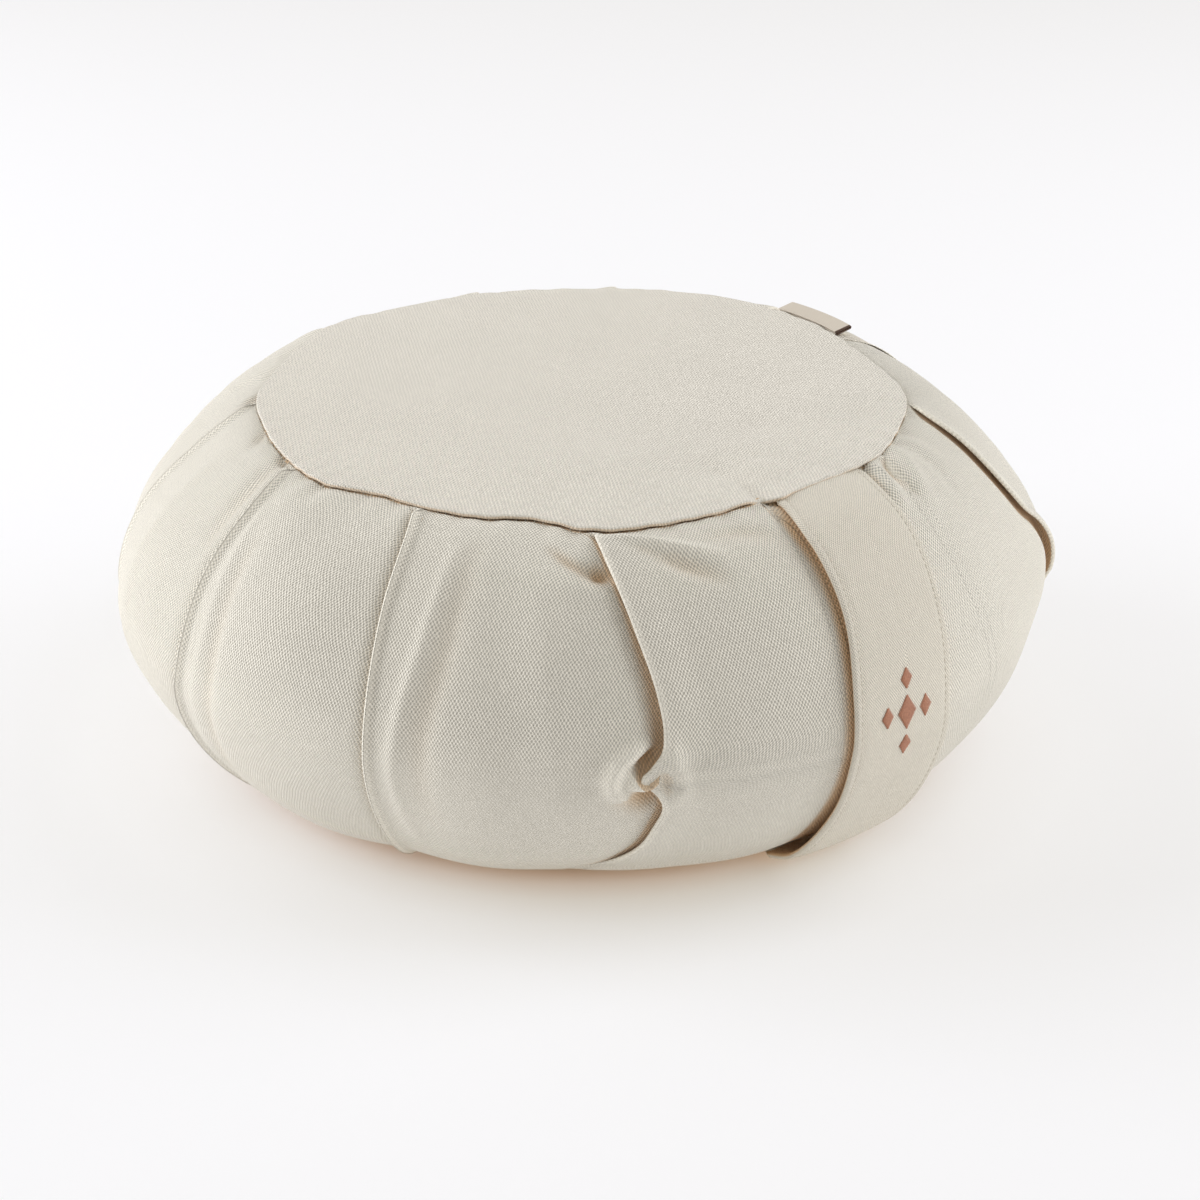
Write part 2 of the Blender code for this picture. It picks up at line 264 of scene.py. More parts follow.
LAMP_AIM = Vector((0, 0, 0.08))
LAMP_COLOUR = (0.988, 0.998, 1.030)
LAMPS = (  # name, place, size, watts
    ("left low", (-1.36, -1.48, 0.70), 1.6, 34.0),
    ("left back", (-1.70, -0.50, 1.40), 1.5, 6.0),
    ("right low", (1.04, 1.72, 0.70), 1.6, 20.0),
    ("right high", (0.60, 1.30, 1.80), 1.4, 10.0),
)
for name, place, size, watts in LAMPS:
    lamp_data = bpy.data.lights.new(name, "AREA")
    lamp_data.size = size
    lamp_data.energy = watts
    lamp_data.color = LAMP_COLOUR
    lamp = add_object(name, lamp_data)
    lamp.location = place
    lamp.rotation_mode = "QUATERNION"
    lamp.rotation_quaternion = (LAMP_AIM - Vector(place)).to_track_quat("-Z", "Y")
print("lamps:", len(LAMPS))

# %% [markdown]
# ## The sizes of the sewn bag
# These are the sizes that the maker would write down, in metres. The height of the seam and the
# cloth's thickness are those of the frame's solids, so the cloth lies where they are.

# %% Sizes
SEAM_HEIGHT = 0.1485
FOOT_RADIUS = 0.1380
GIRTH_RADIUS = 0.1965
GIRTH_HEIGHT = 0.0740
UPPER_FULLNESS, LOWER_FULLNESS = 1.73, 1.62  # 2 is an ellipse, less is flatter
CLOTH = 0.0018
GAP = 0.0003
CROWN = 0.0030
STRIP_LENGTH = 1.400
SLIT = 0.0007  # between the layers inside a fold
CORE_RADIUS = 0.112  # the ring in the filling that the side is lifted away from
FLAT_SPREAD = 0.0035  # where a fold has run out, its points spread this far to both sides
SIDE_DROP = 0.20  # along the cloth, from seam to seam
MILLIMETRE = 0.001
print("seam", SEAM_HEIGHT, "m up, girth", 2.0 * GIRTH_RADIUS, "m across")

# %% [markdown]
# A cloth simulation would let the pleats slide to where they like. Here they have to lie where the
# photograph shows them, so each fold has a row in a table: the path of its edge as (drop,
# direction) and how far down it reaches. Then come, in millimetres, how proud its edge stands, how
# deep and how wide the hollow beside it is, how soon it falls back, how thick its rolled edge is
# and how full its panel is. Last come the strength of the warm shade beside it and its width in
# millimetres.

# %% Table of folds
FOLD_COLUMNS = ("path", "reach", "proud", "sink", "spread", "fall", "nose", "puff", "glow")
FOLD_ROWS = (
    (((0, -141), (0.5, -138), (1, -140)), 1.0, 1.0, 1.2, 9, 9, 1.4, 2.0, (0.1, 3)),
    (((0, -127), (0.05, -124), (0.15, -122.6), (0.5, -122.5), (1, -122)),
     1.0, 2.0, 1.6, 7, 4.5, 1.9, 2.6, (0.3, 3)),
    (((0, -93.5), (0.13, -90.5), (0.3, -90.6), (0.45, -91), (0.63, -93), (1, -93)),
     1.0, 2.3, 1.6, 7, 4.5, 2.1, 3.2, (0.4, 3)),
    (((0, -65.2), (0.1, -63), (0.25, -62), (0.6, -61.7), (0.8, -62.6), (0.9, -64), (1, -65.5)),
     1.0, 2.2, 1.5, 6, 4.5, 2.0, 3.6, (0.35, 3)),
    (((0, -35.8), (0.12, -33.6), (0.25, -30.8), (0.36, -28.6), (0.42, -28.1), (0.455, -28.4),
      (0.48, -29.3), (0.51, -30.4), (0.532, -30.5), (0.555, -29.2), (0.59, -28.1), (0.65, -28.9),
      (0.715, -30.6), (0.76, -33.0), (0.80, -36.0), (1, -37)),
     0.735, 2.0, 5.2, 11, 20, 1.9, 1.5, (0.75, 8)),
    (((0, -5.5), (0.5, -6), (1, -7)), 0.02, 0.3, 0.5, 8, 12, 1.2, 0.0, (0.5, 2)),
    (((0, 25.0), (0.06, 21.8), (0.115, 19.9), (0.5, 19), (1, 20)),
     0.06, 0.8, 2.6, 9, 14, 1.7, 0.0, (0.4, 3)),
    (((0, 50.5), (0.05, 46.5), (0.1, 43.8), (0.15, 42.2), (0.22, 41.0), (0.28, 41.6), (0.32, 42.8),
      (0.36, 45.6), (0.40, 47.4), (0.5, 49.5), (0.7, 51), (1, 50)),
     1.0, 2.9, 1.2, 7, 14, 1.9, 3.0, (0.9, 3)),
    (((0, 85), (0.5, 84), (1, 80)), 1.0, 0.1, 0.0, 6, 14, 0.35, 3.0, (0.1, 1)),
    (((0, 106), (0.5, 110), (1, 107)), 1.0, 1.2, 1.8, 14, 14, 1.6, 3.4, (0.3, 3)),
    (((0, 136), (0.5, 141), (1, 138)), 1.0, 1.1, 1.8, 14, 14, 1.5, 3.6, (0.4, 3)),
    (((0, 161.5), (0.5, 166), (1, 163)), 1.0, 1.2, 1.8, 14, 14, 1.6, 3.0, (0.3, 3)),
    (((0, 194.5), (0.5, 198), (1, 196)), 1.0, 1.2, 1.8, 14, 14, 1.6, 2.6, (0.3, 3)),
)
print("folds at", [row[0][0][1] for row in FOLD_ROWS])

# %% The seam's outline
SEAM_KNOTS = (  # direction, radius of the top seam: it isn't a true circle
    (-166.0, 0.1425), (-154.0, 0.1385), (-142.0, 0.1345), (-126.0, 0.1360), (-113.0, 0.1345),
    (-95.0, 0.1368), (-82.0, 0.1390), (-73.5, 0.1335), (-65.2, 0.1342), (-54.0, 0.1362),
    (-45.0, 0.1338), (-35.8, 0.1434), (-23.0, 0.1402), (-12.0, 0.1352), (-6.6, 0.1325),
    (-4.8, 0.1306), (-3.2, 0.1348), (1.0, 0.1340), (7.0, 0.1336), (18.0, 0.1354), (24.5, 0.1360),
    (38.0, 0.1351), (50.5, 0.1364), (71.0, 0.1330), (80.0, 0.1338), (92.0, 0.1375),
    (106.0, 0.1408), (121.0, 0.1424), (136.0, 0.1410), (150.0, 0.1385), (161.5, 0.1400),
    (178.0, 0.1386),
)
seam_radii = [radius for _, radius in SEAM_KNOTS]
print("seam radius from", min(seam_radii), "to", max(seam_radii), "m")

# %% [markdown]
# Two of the folds change on their way down, and have tables of shares for that. The deep one is
# open most a little above its middle and lies down at its foot. The rolled flap on the right
# sticks out most halfway down.

# %% How the folds change on their way down
DEEP_FOLD, FLAP_FOLD = 4, 7
EVEN = ((0.0, 1.0), (1.0, 1.0))
DEPTH_SHARES = {  # how deep the hollow beside a fold is, as (drop, share)
    DEEP_FOLD: (
        (0.0, 0.15), (0.10, 0.25), (0.20, 0.38), (0.30, 0.70), (0.42, 1.0), (0.49, 0.85),
        (0.55, 0.62), (0.60, 0.52), (0.66, 0.45), (0.75, 0.30), (1.0, 0.1),
    ),
}
PROUD_SHARES = {  # how proud its edge stands, as (drop, share)
    DEEP_FOLD: ((0.0, 1.0), (0.68, 1.0), (0.80, 0.4), (1.0, 0.1)),
    FLAP_FOLD: (
        (0.0, 0.5), (0.15, 0.85), (0.30, 1.0), (0.42, 1.5), (0.50, 1.4), (0.65, 0.6), (1.0, 0.3),
    ),
}
FOLDS = tuple(dict(zip(FOLD_COLUMNS, row)) for row in FOLD_ROWS)
for index, fold in enumerate(FOLDS):
    for column in ("proud", "sink", "spread", "fall", "nose", "puff"):
        fold[column] = fold[column] * MILLIMETRE
    fold["depth"] = DEPTH_SHARES.get(index, EVEN)
    fold["stand"] = PROUD_SHARES.get(index, EVEN)
print(len(FOLDS), "folds, one strip of", STRIP_LENGTH, "m")

# %% [markdown]
# ## The stuffed side
# Any point of the side has three numbers: a direction round the cushion in degrees, a drop from
# 0 at the top seam to 1 at the bottom seam, and a lift off the smooth stuffed shape. The smooth
# shape is a superellipse, flatter than a circle where the cloth is pulled tight by its seams.


# %% Curves and places
def smooth(share):
    """0 to 1, eased at both ends."""
    share = np.clip(share, 0.0, 1.0)
    return share * share * (3.0 - 2.0 * share)


def turned_from(turn, other):
    """How far a direction is from another, from -180 to 180 degrees."""
    return (turn - other + 180.0) % 360.0 - 180.0


def spots_round(turn, radius, height):
    """Points from directions in degrees, distances from the middle and heights."""
    angle = np.radians(turn)
    places = (radius * np.cos(angle), radius * np.sin(angle), height)
    return np.stack(np.broadcast_arrays(*places), axis=-1)


def crowded(even, pull):
    """Even shares from 0 to 1, moved towards both ends: the larger the pull, the less."""
    return 0.5 - 0.5 * np.cos(pi * even) * (1.0 - pull * np.sin(pi * even) ** 2)


def bent(knots, at):
    """A smooth curve through a table of (place, value), read at one place or at many."""
    places, values = np.array(knots, float).T
    slopes = np.gradient(values, places)
    index = np.clip(np.searchsorted(places, at, side="right") - 1, 0, len(places) - 2)
    span = places[index + 1] - places[index]
    share = np.clip((at - places[index]) / span, 0.0, 1.0)
    rise = values[index + 1] - values[index]
    first, last = slopes[index] * span, slopes[index + 1] * span
    bend = 3 * rise - 2 * first - last + share * (first + last - 2 * rise)
    return values[index] + share * (first + share * bend)


# %% The smooth shape under the folds
def seam_radius(turn):
    """Radius of the top seam, for directions in degrees."""
    first = SEAM_KNOTS[0][0]
    before = [(place - 360.0, radius) for place, radius in SEAM_KNOTS[-3:]]
    after = [(place + 360.0, radius) for place, radius in SEAM_KNOTS[:3]]
    at = (np.asarray(turn, float) - first) % 360.0 + first
    return bent([*before, *SEAM_KNOTS, *after], at)


def plain_profile(turn, drop):
    """Distance from the middle and height of the smooth stuffed shape."""
    angle = (0.5 - drop) * pi
    out = np.clip(np.cos(angle), 0.0, 1.0)
    rise = np.clip(np.abs(np.sin(angle)), 0.0, 1.0)
    upper = drop <= 0.5
    power = np.where(upper, 2.0 / UPPER_FULLNESS, 2.0 / LOWER_FULLNESS)
    inner = np.where(upper, seam_radius(turn), FOOT_RADIUS)
    radius = inner + (GIRTH_RADIUS - inner) * out**power
    above = GIRTH_HEIGHT + (SEAM_HEIGHT - GIRTH_HEIGHT) * rise**power
    below = GIRTH_HEIGHT - (GIRTH_HEIGHT - CLOTH - GAP) * rise**power
    return radius, np.where(upper, above, below)


def side_point(turn, drop, lift):
    """Points of the side, lifted away from a ring inside the filling."""
    radius, height = plain_profile(turn, drop)
    out, rise = radius - CORE_RADIUS, height - GIRTH_HEIGHT
    length = np.sqrt(out**2 + rise**2)
    radius = radius + lift * out / length
    height = np.maximum(height + lift * rise / length, CLOTH + GAP)
    return spots_round(turn, radius, height)


def metres_aside(turn, other, drop):
    """Distance round the side between two directions, in metres, signed."""
    radius, _ = plain_profile(turn, drop)
    return np.radians(turned_from(turn, other)) * radius


print("halfway down, the side lies", round(float(plain_profile(0.0, 0.5)[0]), 4), "m out")

# %% [markdown]
# ### A knife pleat in section
# From left to right, one row across a pleat is: the open cloth of a panel, which runs on under
# the next panel's edge, turns back in a tight fold, comes out again and rolls over a soft folded
# edge. So the edge really overhangs, and the dark line beside it is a real shadow.


# %% One pleat
FLOOR_SHARES = (0.0, 0.3, 0.6, 0.85, 1.0)
ROOF_SHARES = (0.85, 0.6, 0.35, 0.12)
NOSE_ANGLES = np.linspace(-90.0, 90.0, 10)
SEAM_FADE, FOLD_FADE = 0.05, 0.08  # shares of the drop in which a fold opens and runs out
UNDER_COUNT = len(FLOOR_SHARES)
OPEN_PULL = 0.30
OPEN_COUNTS = (24, 26, 46, 80, 40, 26, 40, 28, 22, 22, 22, 22, 22)  # more where the camera looks


def fold_edge(fold, drop):
    return float(bent(fold["path"], drop))


def fold_shows(fold, drop):
    """1 where a fold stands open, 0 in both seams and below its reach."""
    ends = smooth(drop / SEAM_FADE) * smooth((1.0 - drop) / SEAM_FADE)
    fade = 1.0 - smooth((drop - fold["reach"]) / FOLD_FADE) if fold["reach"] < 1.0 else 1.0
    return float(ends * fade)


def fold_sink(fold, drop):
    return fold["sink"] * float(bent(fold["depth"], drop))


def fold_proud(fold, drop):
    return fold["proud"] * float(bent(fold["stand"], drop))


def open_lift(fold, after, along, width, drop):
    """Lift of a panel's open cloth, from its own edge to the hollow at the next one."""
    flap = fold_proud(fold, drop) * (1.0 - smooth(along / fold["fall"])) * fold_shows(fold, drop)
    dip = smooth(1.0 - (width - along) / after["spread"]) ** 1.4
    dip = fold_sink(after, drop) * dip * fold_shows(after, drop)
    swell = fold["puff"] * np.sin(pi * np.clip(along / width, 0.0, 1.0)) * sin(pi * drop)
    return flap - dip + swell


def fold_section(fold, drop, lap):
    """Arrays of the distance from the folded edge and the lift, from the cloth under it."""
    floor_lift = -fold_sink(fold, drop)
    inner = floor_lift + SLIT
    proud = fold_proud(fold, drop)
    roof = max(proud - fold["nose"], inner - 0.0002)
    half = fold["nose"] / 2.0
    under = np.array(FLOOR_SHARES)
    out = np.array(ROOF_SHARES)
    nose = np.radians(NOSE_ANGLES)
    along = np.concatenate([
        under * lap,
        out * lap + half * (1.0 - out),
        half * (1.0 - np.cos(nose)),
    ])
    rolled = (proud - roof) / 2.0
    lift = np.concatenate([
        floor_lift + 0.5 * SLIT * under**3,
        roof + (inner - roof) * out**1.5,
        proud - rolled + rolled * np.sin(nose),
    ])
    shown = fold_shows(fold, drop)
    flat = np.linspace(-FLAT_SPREAD, FLAT_SPREAD, len(along))
    return along * shown + flat * (1.0 - shown), lift * shown


print("a fold has", UNDER_COUNT + len(ROOF_SHARES) + len(NOSE_ANGLES), "points across")

# %% [markdown]
# Light is thrown to and fro inside a fold and takes on the cloth's own warm colour. More bounces
# than a render has would be needed to show that, so each point carries an amount of painted warm
# shade. A folded edge catches more light, and a painted highlight stands for that: a shade below 0.


# %% The painted warm shade in a fold and the painted highlight on its edge
# The painted highlight reaches this far past a folded edge.
EDGE_WIDTH = 0.0020
NOSE_HIGHLIGHT = 0.9
FULL_GLOW = 0.3  # folds with weaker warm shade get a weaker painted highlight on their edge


# How strong the painted highlight on a fold's edge is.
def painted_edge_highlight(fold, drop):
    return NOSE_HIGHLIGHT * min(fold["glow"][0] / FULL_GLOW, 1.0) * fold_shows(fold, drop)


def fold_glow(fold, drop, away):
    """Warm shade on the open cloth beside a fold, and on the cloth inside it."""
    strength, reach = fold["glow"]
    strength = strength * fold_shows(fold, drop)
    reach = reach * MILLIMETRE * (0.15 + 0.85 * float(bent(fold["depth"], drop)) ** 2)
    beside = smooth(1.0 - away / reach) ** 1.3
    inside = strength * np.concatenate([
        np.ones(UNDER_COUNT + len(ROOF_SHARES)),
        smooth((-NOSE_ANGLES - 35.0) / 50.0),
    ])
    # The top of the rolled edge gets a painted highlight.
    inside[-len(NOSE_ANGLES):] -= painted_edge_highlight(fold, drop) * smooth((NOSE_ANGLES + 40.0) / 40.0)
    return strength * beside, inside


# %% A row of pleats
def side_row(drop):
    """One row: direction, lift, panel, cloth length from the panel's folded edge, warm shade."""
    turns, lifts, panels, lengths, glows = [], [], [], [], []
    lap = (STRIP_LENGTH - 2.0 * pi * float(plain_profile(0.0, drop)[0])) / (2.0 * len(FOLDS))
    for index, fold in enumerate(FOLDS):
        after = FOLDS[(index + 1) % len(FOLDS)]
        count = OPEN_COUNTS[index]
        begin, end = fold_edge(fold, drop), fold_edge(after, drop)
        end += 360.0 if end < begin else 0.0
        degree = radians(1.0) * float(plain_profile(begin, drop)[0])
        width = (end - begin) * degree
        first = fold_section(fold, drop, lap)[0][-1]
        along_fold, lift_fold = fold_section(after, drop, lap)
        shares = crowded(np.linspace(0.0, 1.0, count + 2)[1:-1], OPEN_PULL)
        along = first + (width + along_fold[0] - first) * shares
        beside, inside = fold_glow(after, drop, width - along)
        # Painted highlight on the open cloth just past the folded edge.
        beside = beside - painted_edge_highlight(fold, drop) * smooth(1.0 - (along - first) / EDGE_WIDTH)
        turns += [begin + along / degree, end + along_fold / degree]
        lifts += [open_lift(fold, after, along, width, drop), lift_fold]
        glows += [beside, inside]
        own = np.full(count + len(along_fold), index)
        own[count + UNDER_COUNT:] = (index + 1) % len(FOLDS)
        panels.append(own)
        back = along_fold[UNDER_COUNT:]
        lengths += [along, width + along_fold[:UNDER_COUNT], -back]
    return [np.concatenate(part) for part in (turns, lifts, panels, lengths, glows)]


print("one row has", len(side_row(0.5)[0]), "points")

# %% [markdown]
# ### Creases that no pattern gives
# A stuffed cover also has ridges and troughs where the filling pushes and a fold pulls. Each is
# one row of a table: the places that a bent line passes through, its width, and how far it rises
# or sinks. They belong to one panel, so a crease ends at the panel's folded edge.

# %% Table of creases
CREASE_ROWS = (  # panel, (direction, drop) places, width and lift in millimetres, painted warm shade (below 0 a painted highlight)
    (2, ((-87.6, 0.14), (-86.4, 0.35), (-87.2, 0.50), (-89.0, 0.70)), 1.8, 1.0, 0.0),
    (2, ((-84.6, 0.20), (-84.0, 0.40), (-84.8, 0.56), (-86.6, 0.72)), 3.0, -1.3, 0.1),
    (3, ((-54.5, 0.12), (-55.6, 0.28), (-57.4, 0.42), (-58.0, 0.56), (-57.2, 0.72)), 3.2, 1.6, 0.0),
    (3, ((-52.0, 0.12), (-53.0, 0.30), (-54.6, 0.44), (-54.6, 0.62)), 4.6, -1.7, 0.1),
    (3, ((-47.0, 0.20), (-44.5, 0.42), (-44.0, 0.66)), 9.0, -0.9, 0.0),
    (3, ((-42.0, 0.24), (-39.5, 0.42), (-39.0, 0.62)), 6.0, 0.8, 0.0),
    (3, ((-33.0, 0.131), (-34.6, 0.136), (-36.0, 0.135)), 3.8, -4.4, 0.9),
    (3, ((-35.6, 0.135), (-38.4, 0.121), (-41.0, 0.098)), 2.6, -1.9, 0.4),
    (3, ((-34.0, 0.175), (-40.0, 0.170), (-46.0, 0.15)), 5.0, 1.2, 0.0),
    (4, ((-32.5, 0.022), (-28.8, 0.052), (-25.5, 0.077), (-22.0, 0.103), (-17.5, 0.130)),
     2.8, 2.8, -0.2),
    (4, ((-29.6, 0.070), (-28.0, 0.086), (-26.5, 0.104)), 2.6, -0.2, 0.1),
    (4, ((-26.4, 0.104), (-22.8, 0.140), (-18.5, 0.174)), 3.4, -2.9, 0.2),
    (4, ((-18.0, 0.080), (-13.0, 0.085), (-8.0, 0.120)), 4.0, -1.5, 0.1),
    (6, ((25.2, 0.000), (21.8, 0.060), (20.2, 0.130)), 2.4, -2.7, 0.15),
    (5, ((21.5, 0.000), (17.6, 0.085), (15.5, 0.145)), 3.4, 1.8, 0.0),
    (6, ((28.8, 0.000), (26.0, 0.070), (21.5, 0.150)), 4.2, 1.6, 0.0),
    (6, ((33.0, 0.010), (31.0, 0.080), (28.0, 0.180)), 4.0, -0.9, 0.0),
    (0, ((-133.0, 0.10), (-131.0, 0.40), (-133.0, 0.70)), 5.0, 1.0, 0.0),
    (1, ((-112.0, 0.06), (-108.0, 0.35), (-109.0, 0.65)), 5.0, 0.9, 0.0),
    (1, ((-96.0, 0.03), (-94.6, 0.12), (-94.0, 0.24)), 3.6, -1.8, 0.1),
    (1, ((-97.5, 0.000), (-95.4, 0.030)), 3.2, -2.6, 0.1),
    (1, ((-110.5, 0.000), (-108.0, 0.045)), 3.0, -2.0, 0.1),
    (0, ((-129.5, 0.000), (-126.5, 0.050)), 3.2, -2.2, 0.1),
    (2, ((-84.0, 0.000), (-82.5, 0.070)), 4.0, -0.9, 0.0),
    (7, ((56.0, 0.08), (54.0, 0.40), (55.0, 0.70)), 6.0, -1.0, 0.0),
    (7, ((64.0, 0.15), (63.0, 0.45), (64.0, 0.70)), 7.0, 1.0, 0.0),
    (8, ((84.0, 0.12), (85.0, 0.40), (83.0, 0.74)), 4.2, 1.4, 0.0),
    (8, ((95.0, 0.14), (97.0, 0.35), (95.0, 0.60)), 7.0, -1.2, 0.0),
    (9, ((113.0, 0.12), (116.0, 0.40), (113.0, 0.72)), 4.4, 1.5, 0.0),
    (9, ((126.0, 0.12), (128.0, 0.20), (132.0, 0.32)), 5.0, -1.6, 0.1),
    (10, ((142.0, 0.12), (146.0, 0.40), (143.0, 0.72)), 4.0, 1.4, 0.0),
    (10, ((151.0, 0.14), (153.0, 0.40), (150.0, 0.66)), 6.5, -1.3, 0.0),
    (11, ((167.0, 0.12), (171.0, 0.42), (168.0, 0.70)), 4.2, 1.3, 0.0),
    (11, ((183.0, 0.10), (185.0, 0.22), (190.0, 0.34)), 5.5, -1.6, 0.1),
    (12, ((200.0, 0.12), (203.0, 0.40), (200.0, 0.72)), 4.2, 1.4, 0.0),
    (12, ((210.0, 0.14), (212.0, 0.40), (210.0, 0.64)), 6.0, -1.1, 0.0),
)
# The tuck at the deep fold: its edge curls into the neighbouring panel, round a small hollow
TUCK_ROWS = (
    (3, ((-27.8, 0.492), (-28.8, 0.522), (-29.9, 0.541), (-31.1, 0.530), (-31.7, 0.505)),
     3.2, 8.5, -0.7),
    (3, ((-31.6, 0.572), (-33.2, 0.548), (-33.8, 0.512), (-33.2, 0.474), (-31.6, 0.450),
         (-29.8, 0.440)),
     4.0, 6.0, -0.6),
    (3, ((-28.6, 0.462), (-29.8, 0.476), (-30.6, 0.496)), 3.0, -4.8, 1.0),
    (3, ((-27.6, 0.572), (-29.6, 0.578), (-32.0, 0.570)), 5.0, -5.0, 0.9),
    (4, ((-27.6, 0.430), (-26.8, 0.473), (-26.0, 0.525), (-26.4, 0.580)), 3.4, 2.2, -0.4),
    (4, ((-28.0, 0.500), (-27.6, 0.530), (-27.4, 0.565)), 2.4, -1.8, 0.3),
)
CREASE_COLUMNS = ("panel", "places", "width", "lift", "glow")
CREASES = tuple(dict(zip(CREASE_COLUMNS, row)) for row in CREASE_ROWS + TUCK_ROWS)
print(len(CREASES), "creases and tucks")


# %% How a crease lifts the cloth
CREASE_STEPS = 24
PIT_TURN, PIT_DROP = -35.5, 0.128  # the small pit at the head of the deep fold
PIT_RADIUS, PIT_DEPTH = 0.006, 0.0012


def crease_share(crease, turn, drop):
    """1 on a crease's line, fading to both sides and to both ends."""
    places = np.array(crease["places"], float)
    knots = np.linspace(0.0, 1.0, len(places))
    steps = np.linspace(0.0, 1.0, CREASE_STEPS)
    line = np.stack([bent(list(zip(knots, places[:, k])), steps) for k in range(2)], axis=-1)
    nearest = np.full(turn.shape, 1.0)
    share = np.zeros(turn.shape)
    radius, _ = plain_profile(turn, drop)
    for step, (one, two) in enumerate(zip(line[:-1], line[1:])):
        aside = np.radians(turn - one[0]) * radius
        below = (drop - one[1]) * SIDE_DROP
        across = np.radians(two[0] - one[0]) * radius
        lower = (two[1] - one[1]) * SIDE_DROP
        along = np.clip((aside * across + below * lower) / (across**2 + lower**2), 0.0, 1.0)
        away = (aside - along * across) ** 2 + (below - along * lower) ** 2
        closer = away < nearest
        nearest = np.where(closer, away, nearest)
        share = np.where(closer, (step + along) / (CREASE_STEPS - 1), share)
    taper = np.sin(pi * (0.06 + 0.88 * share)) ** 0.6
    return np.exp(-nearest / (crease["width"] * MILLIMETRE) ** 2) * taper


def pit_lift(turn, drop):
    aside = metres_aside(turn, PIT_TURN, drop)
    down = (drop - PIT_DROP) * SIDE_DROP
    return -PIT_DEPTH * np.exp(-(aside**2 + down**2) / PIT_RADIUS**2)


# %% [markdown]
# Round both seams the stitches gather the cloth into small puckers, and just before the seam it
# dips into the groove. Over the open panels a slow, shallow unevenness is left by the filling.


# %% Puckers at the seams, and the filling's slow unevenness
PUCKER_HEIGHT, PUCKER_REACH = 0.0006, 0.011
GROOVE_DEPTH, GROOVE_WIDTH = 0.0003, 0.0020
SWELL_HEIGHT = 0.0006
PUCKER_SUM, SWELL_SUM = 2.4, 3.0  # bring the sums of the waves back to about 1
SEAM_DROP = SIDE_DROP * 1.15  # near a seam, a share of the drop is a little more cloth
PUCKER_WAVES = [(rng.integers(38, 96), rng.uniform(0, 2 * pi)) for _ in range(6)]
SWELL_WAVES = [
    (rng.integers(5, 26), rng.uniform(1.0, 4.5), rng.uniform(0, 2 * pi)) for _ in range(12)
]


def metres_to_seam(drop):
    return np.minimum(drop, 1.0 - drop) * SEAM_DROP


def pucker_wave(turn):
    """The gathers round a seam."""
    angle = np.radians(turn)
    return sum(np.sin(count * angle + phase) for count, phase in PUCKER_WAVES) / PUCKER_SUM


def pucker_lift(turn, drop):
    away = metres_to_seam(drop)
    return PUCKER_HEIGHT * pucker_wave(turn) * np.exp(-away / PUCKER_REACH) * smooth(away / 0.002)


def groove_lift(drop):
    return -GROOVE_DEPTH * (1.0 - smooth(metres_to_seam(drop) / GROOVE_WIDTH))


def swell_lift(turn, drop):
    angle = np.radians(turn)
    wave = sum(
        np.sin(count * angle + phase) * np.cos(pi * tall * drop + 2.0 * phase)
        for count, tall, phase in SWELL_WAVES
    )
    return SWELL_HEIGHT / SWELL_SUM * wave * np.sin(pi * drop) ** 0.5


print(len(PUCKER_WAVES), "waves in the gathers,", len(SWELL_WAVES), "in the filling")

# %% [markdown]
# The filling isn't even either. A short table of wide, soft swellings and hollows gives the side
# the outline that the photograph shows: drawn in at the lower left, and full behind the strap.

# %% The filling's own bulges
BULGES = (  # direction, drop, width in degrees, height as a share of the drop, lift in millimetres
    (-122.0, 0.17, 26.0, 0.13, -4.5),
    (-130.0, 0.36, 20.0, 0.16, -1.8),
    (-158.0, 0.13, 26.0, 0.12, -1.5),
    (-104.0, 0.80, 34.0, 0.16, -0.8),
    (14.0, 0.88, 10.0, 0.10, 1.8),
    (48.0, 0.68, 14.0, 0.12, -1.6),
    (-50.0, 0.92, 34.0, 0.12, -1.6),
    (0.0, 0.50, 15.0, 0.30, 2.4),
    (49.0, 0.43, 9.0, 0.10, 3.7),
    (66.0, 0.24, 16.0, 0.11, -2.4),
)


def bulge_lift(turn, drop):
    total = np.zeros(turn.shape)
    for aim, level, wide, tall, lift in BULGES:
        away = (turned_from(turn, aim) / wide) ** 2 + ((drop - level) / tall) ** 2
        total += lift * MILLIMETRE * np.exp(-away)
    return total


print(len(BULGES), "bulges and hollows")

# %% [markdown]
# The strap's two sewn ends press a shallow bed into the side, and between them a hand's gap is
# left. The bed is taken out of the side's lift before the cloth is meshed.

# %% The strap's line
STRAP_WIDTH, STRAP_THICKNESS = 0.0495, 0.0025
STRAP_TOP, STRAP_FOOT = 0.004, 0.972
STRAP_BED = 0.0030  # how deep the sewn ends press into the side
BED_MARGIN, BED_SLOPE = 0.006, 0.005  # how far it reaches past the strap, and how softly it ends
SHADE_MARGIN, SHADE_SLOPE = 0.0028, 0.0045  # the same for the warm shade
STRAP_GATHER = 0.035  # share of its width that the strap loses where the seam takes it in
STRAP_SEWN = 0.16  # share of the drop in which the strap's upper end settles
STRAP_LAY = (  # drop, direction of the strap's middle, how far it is clear of the side
    (0.00, 7.3, 0.0004),
    (0.15, 3.9, 0.0022),
    (0.50, 0.6, 0.0030),
    (0.80, 0.5, 0.0036),
    (0.90, 0.8, 0.0030),
    (1.00, 1.2, 0.0005),
)


def strap_lay(drop):
    """Direction and clearance of the strap's middle, eased between the table's rows."""
    stops, *columns = np.array(STRAP_LAY).T
    index = np.clip(np.searchsorted(stops, drop, side="right") - 1, 0, len(stops) - 2)
    share = smooth((drop - stops[index]) / (stops[index + 1] - stops[index]))
    return [values[index] + (values[index + 1] - values[index]) * share for values in columns]


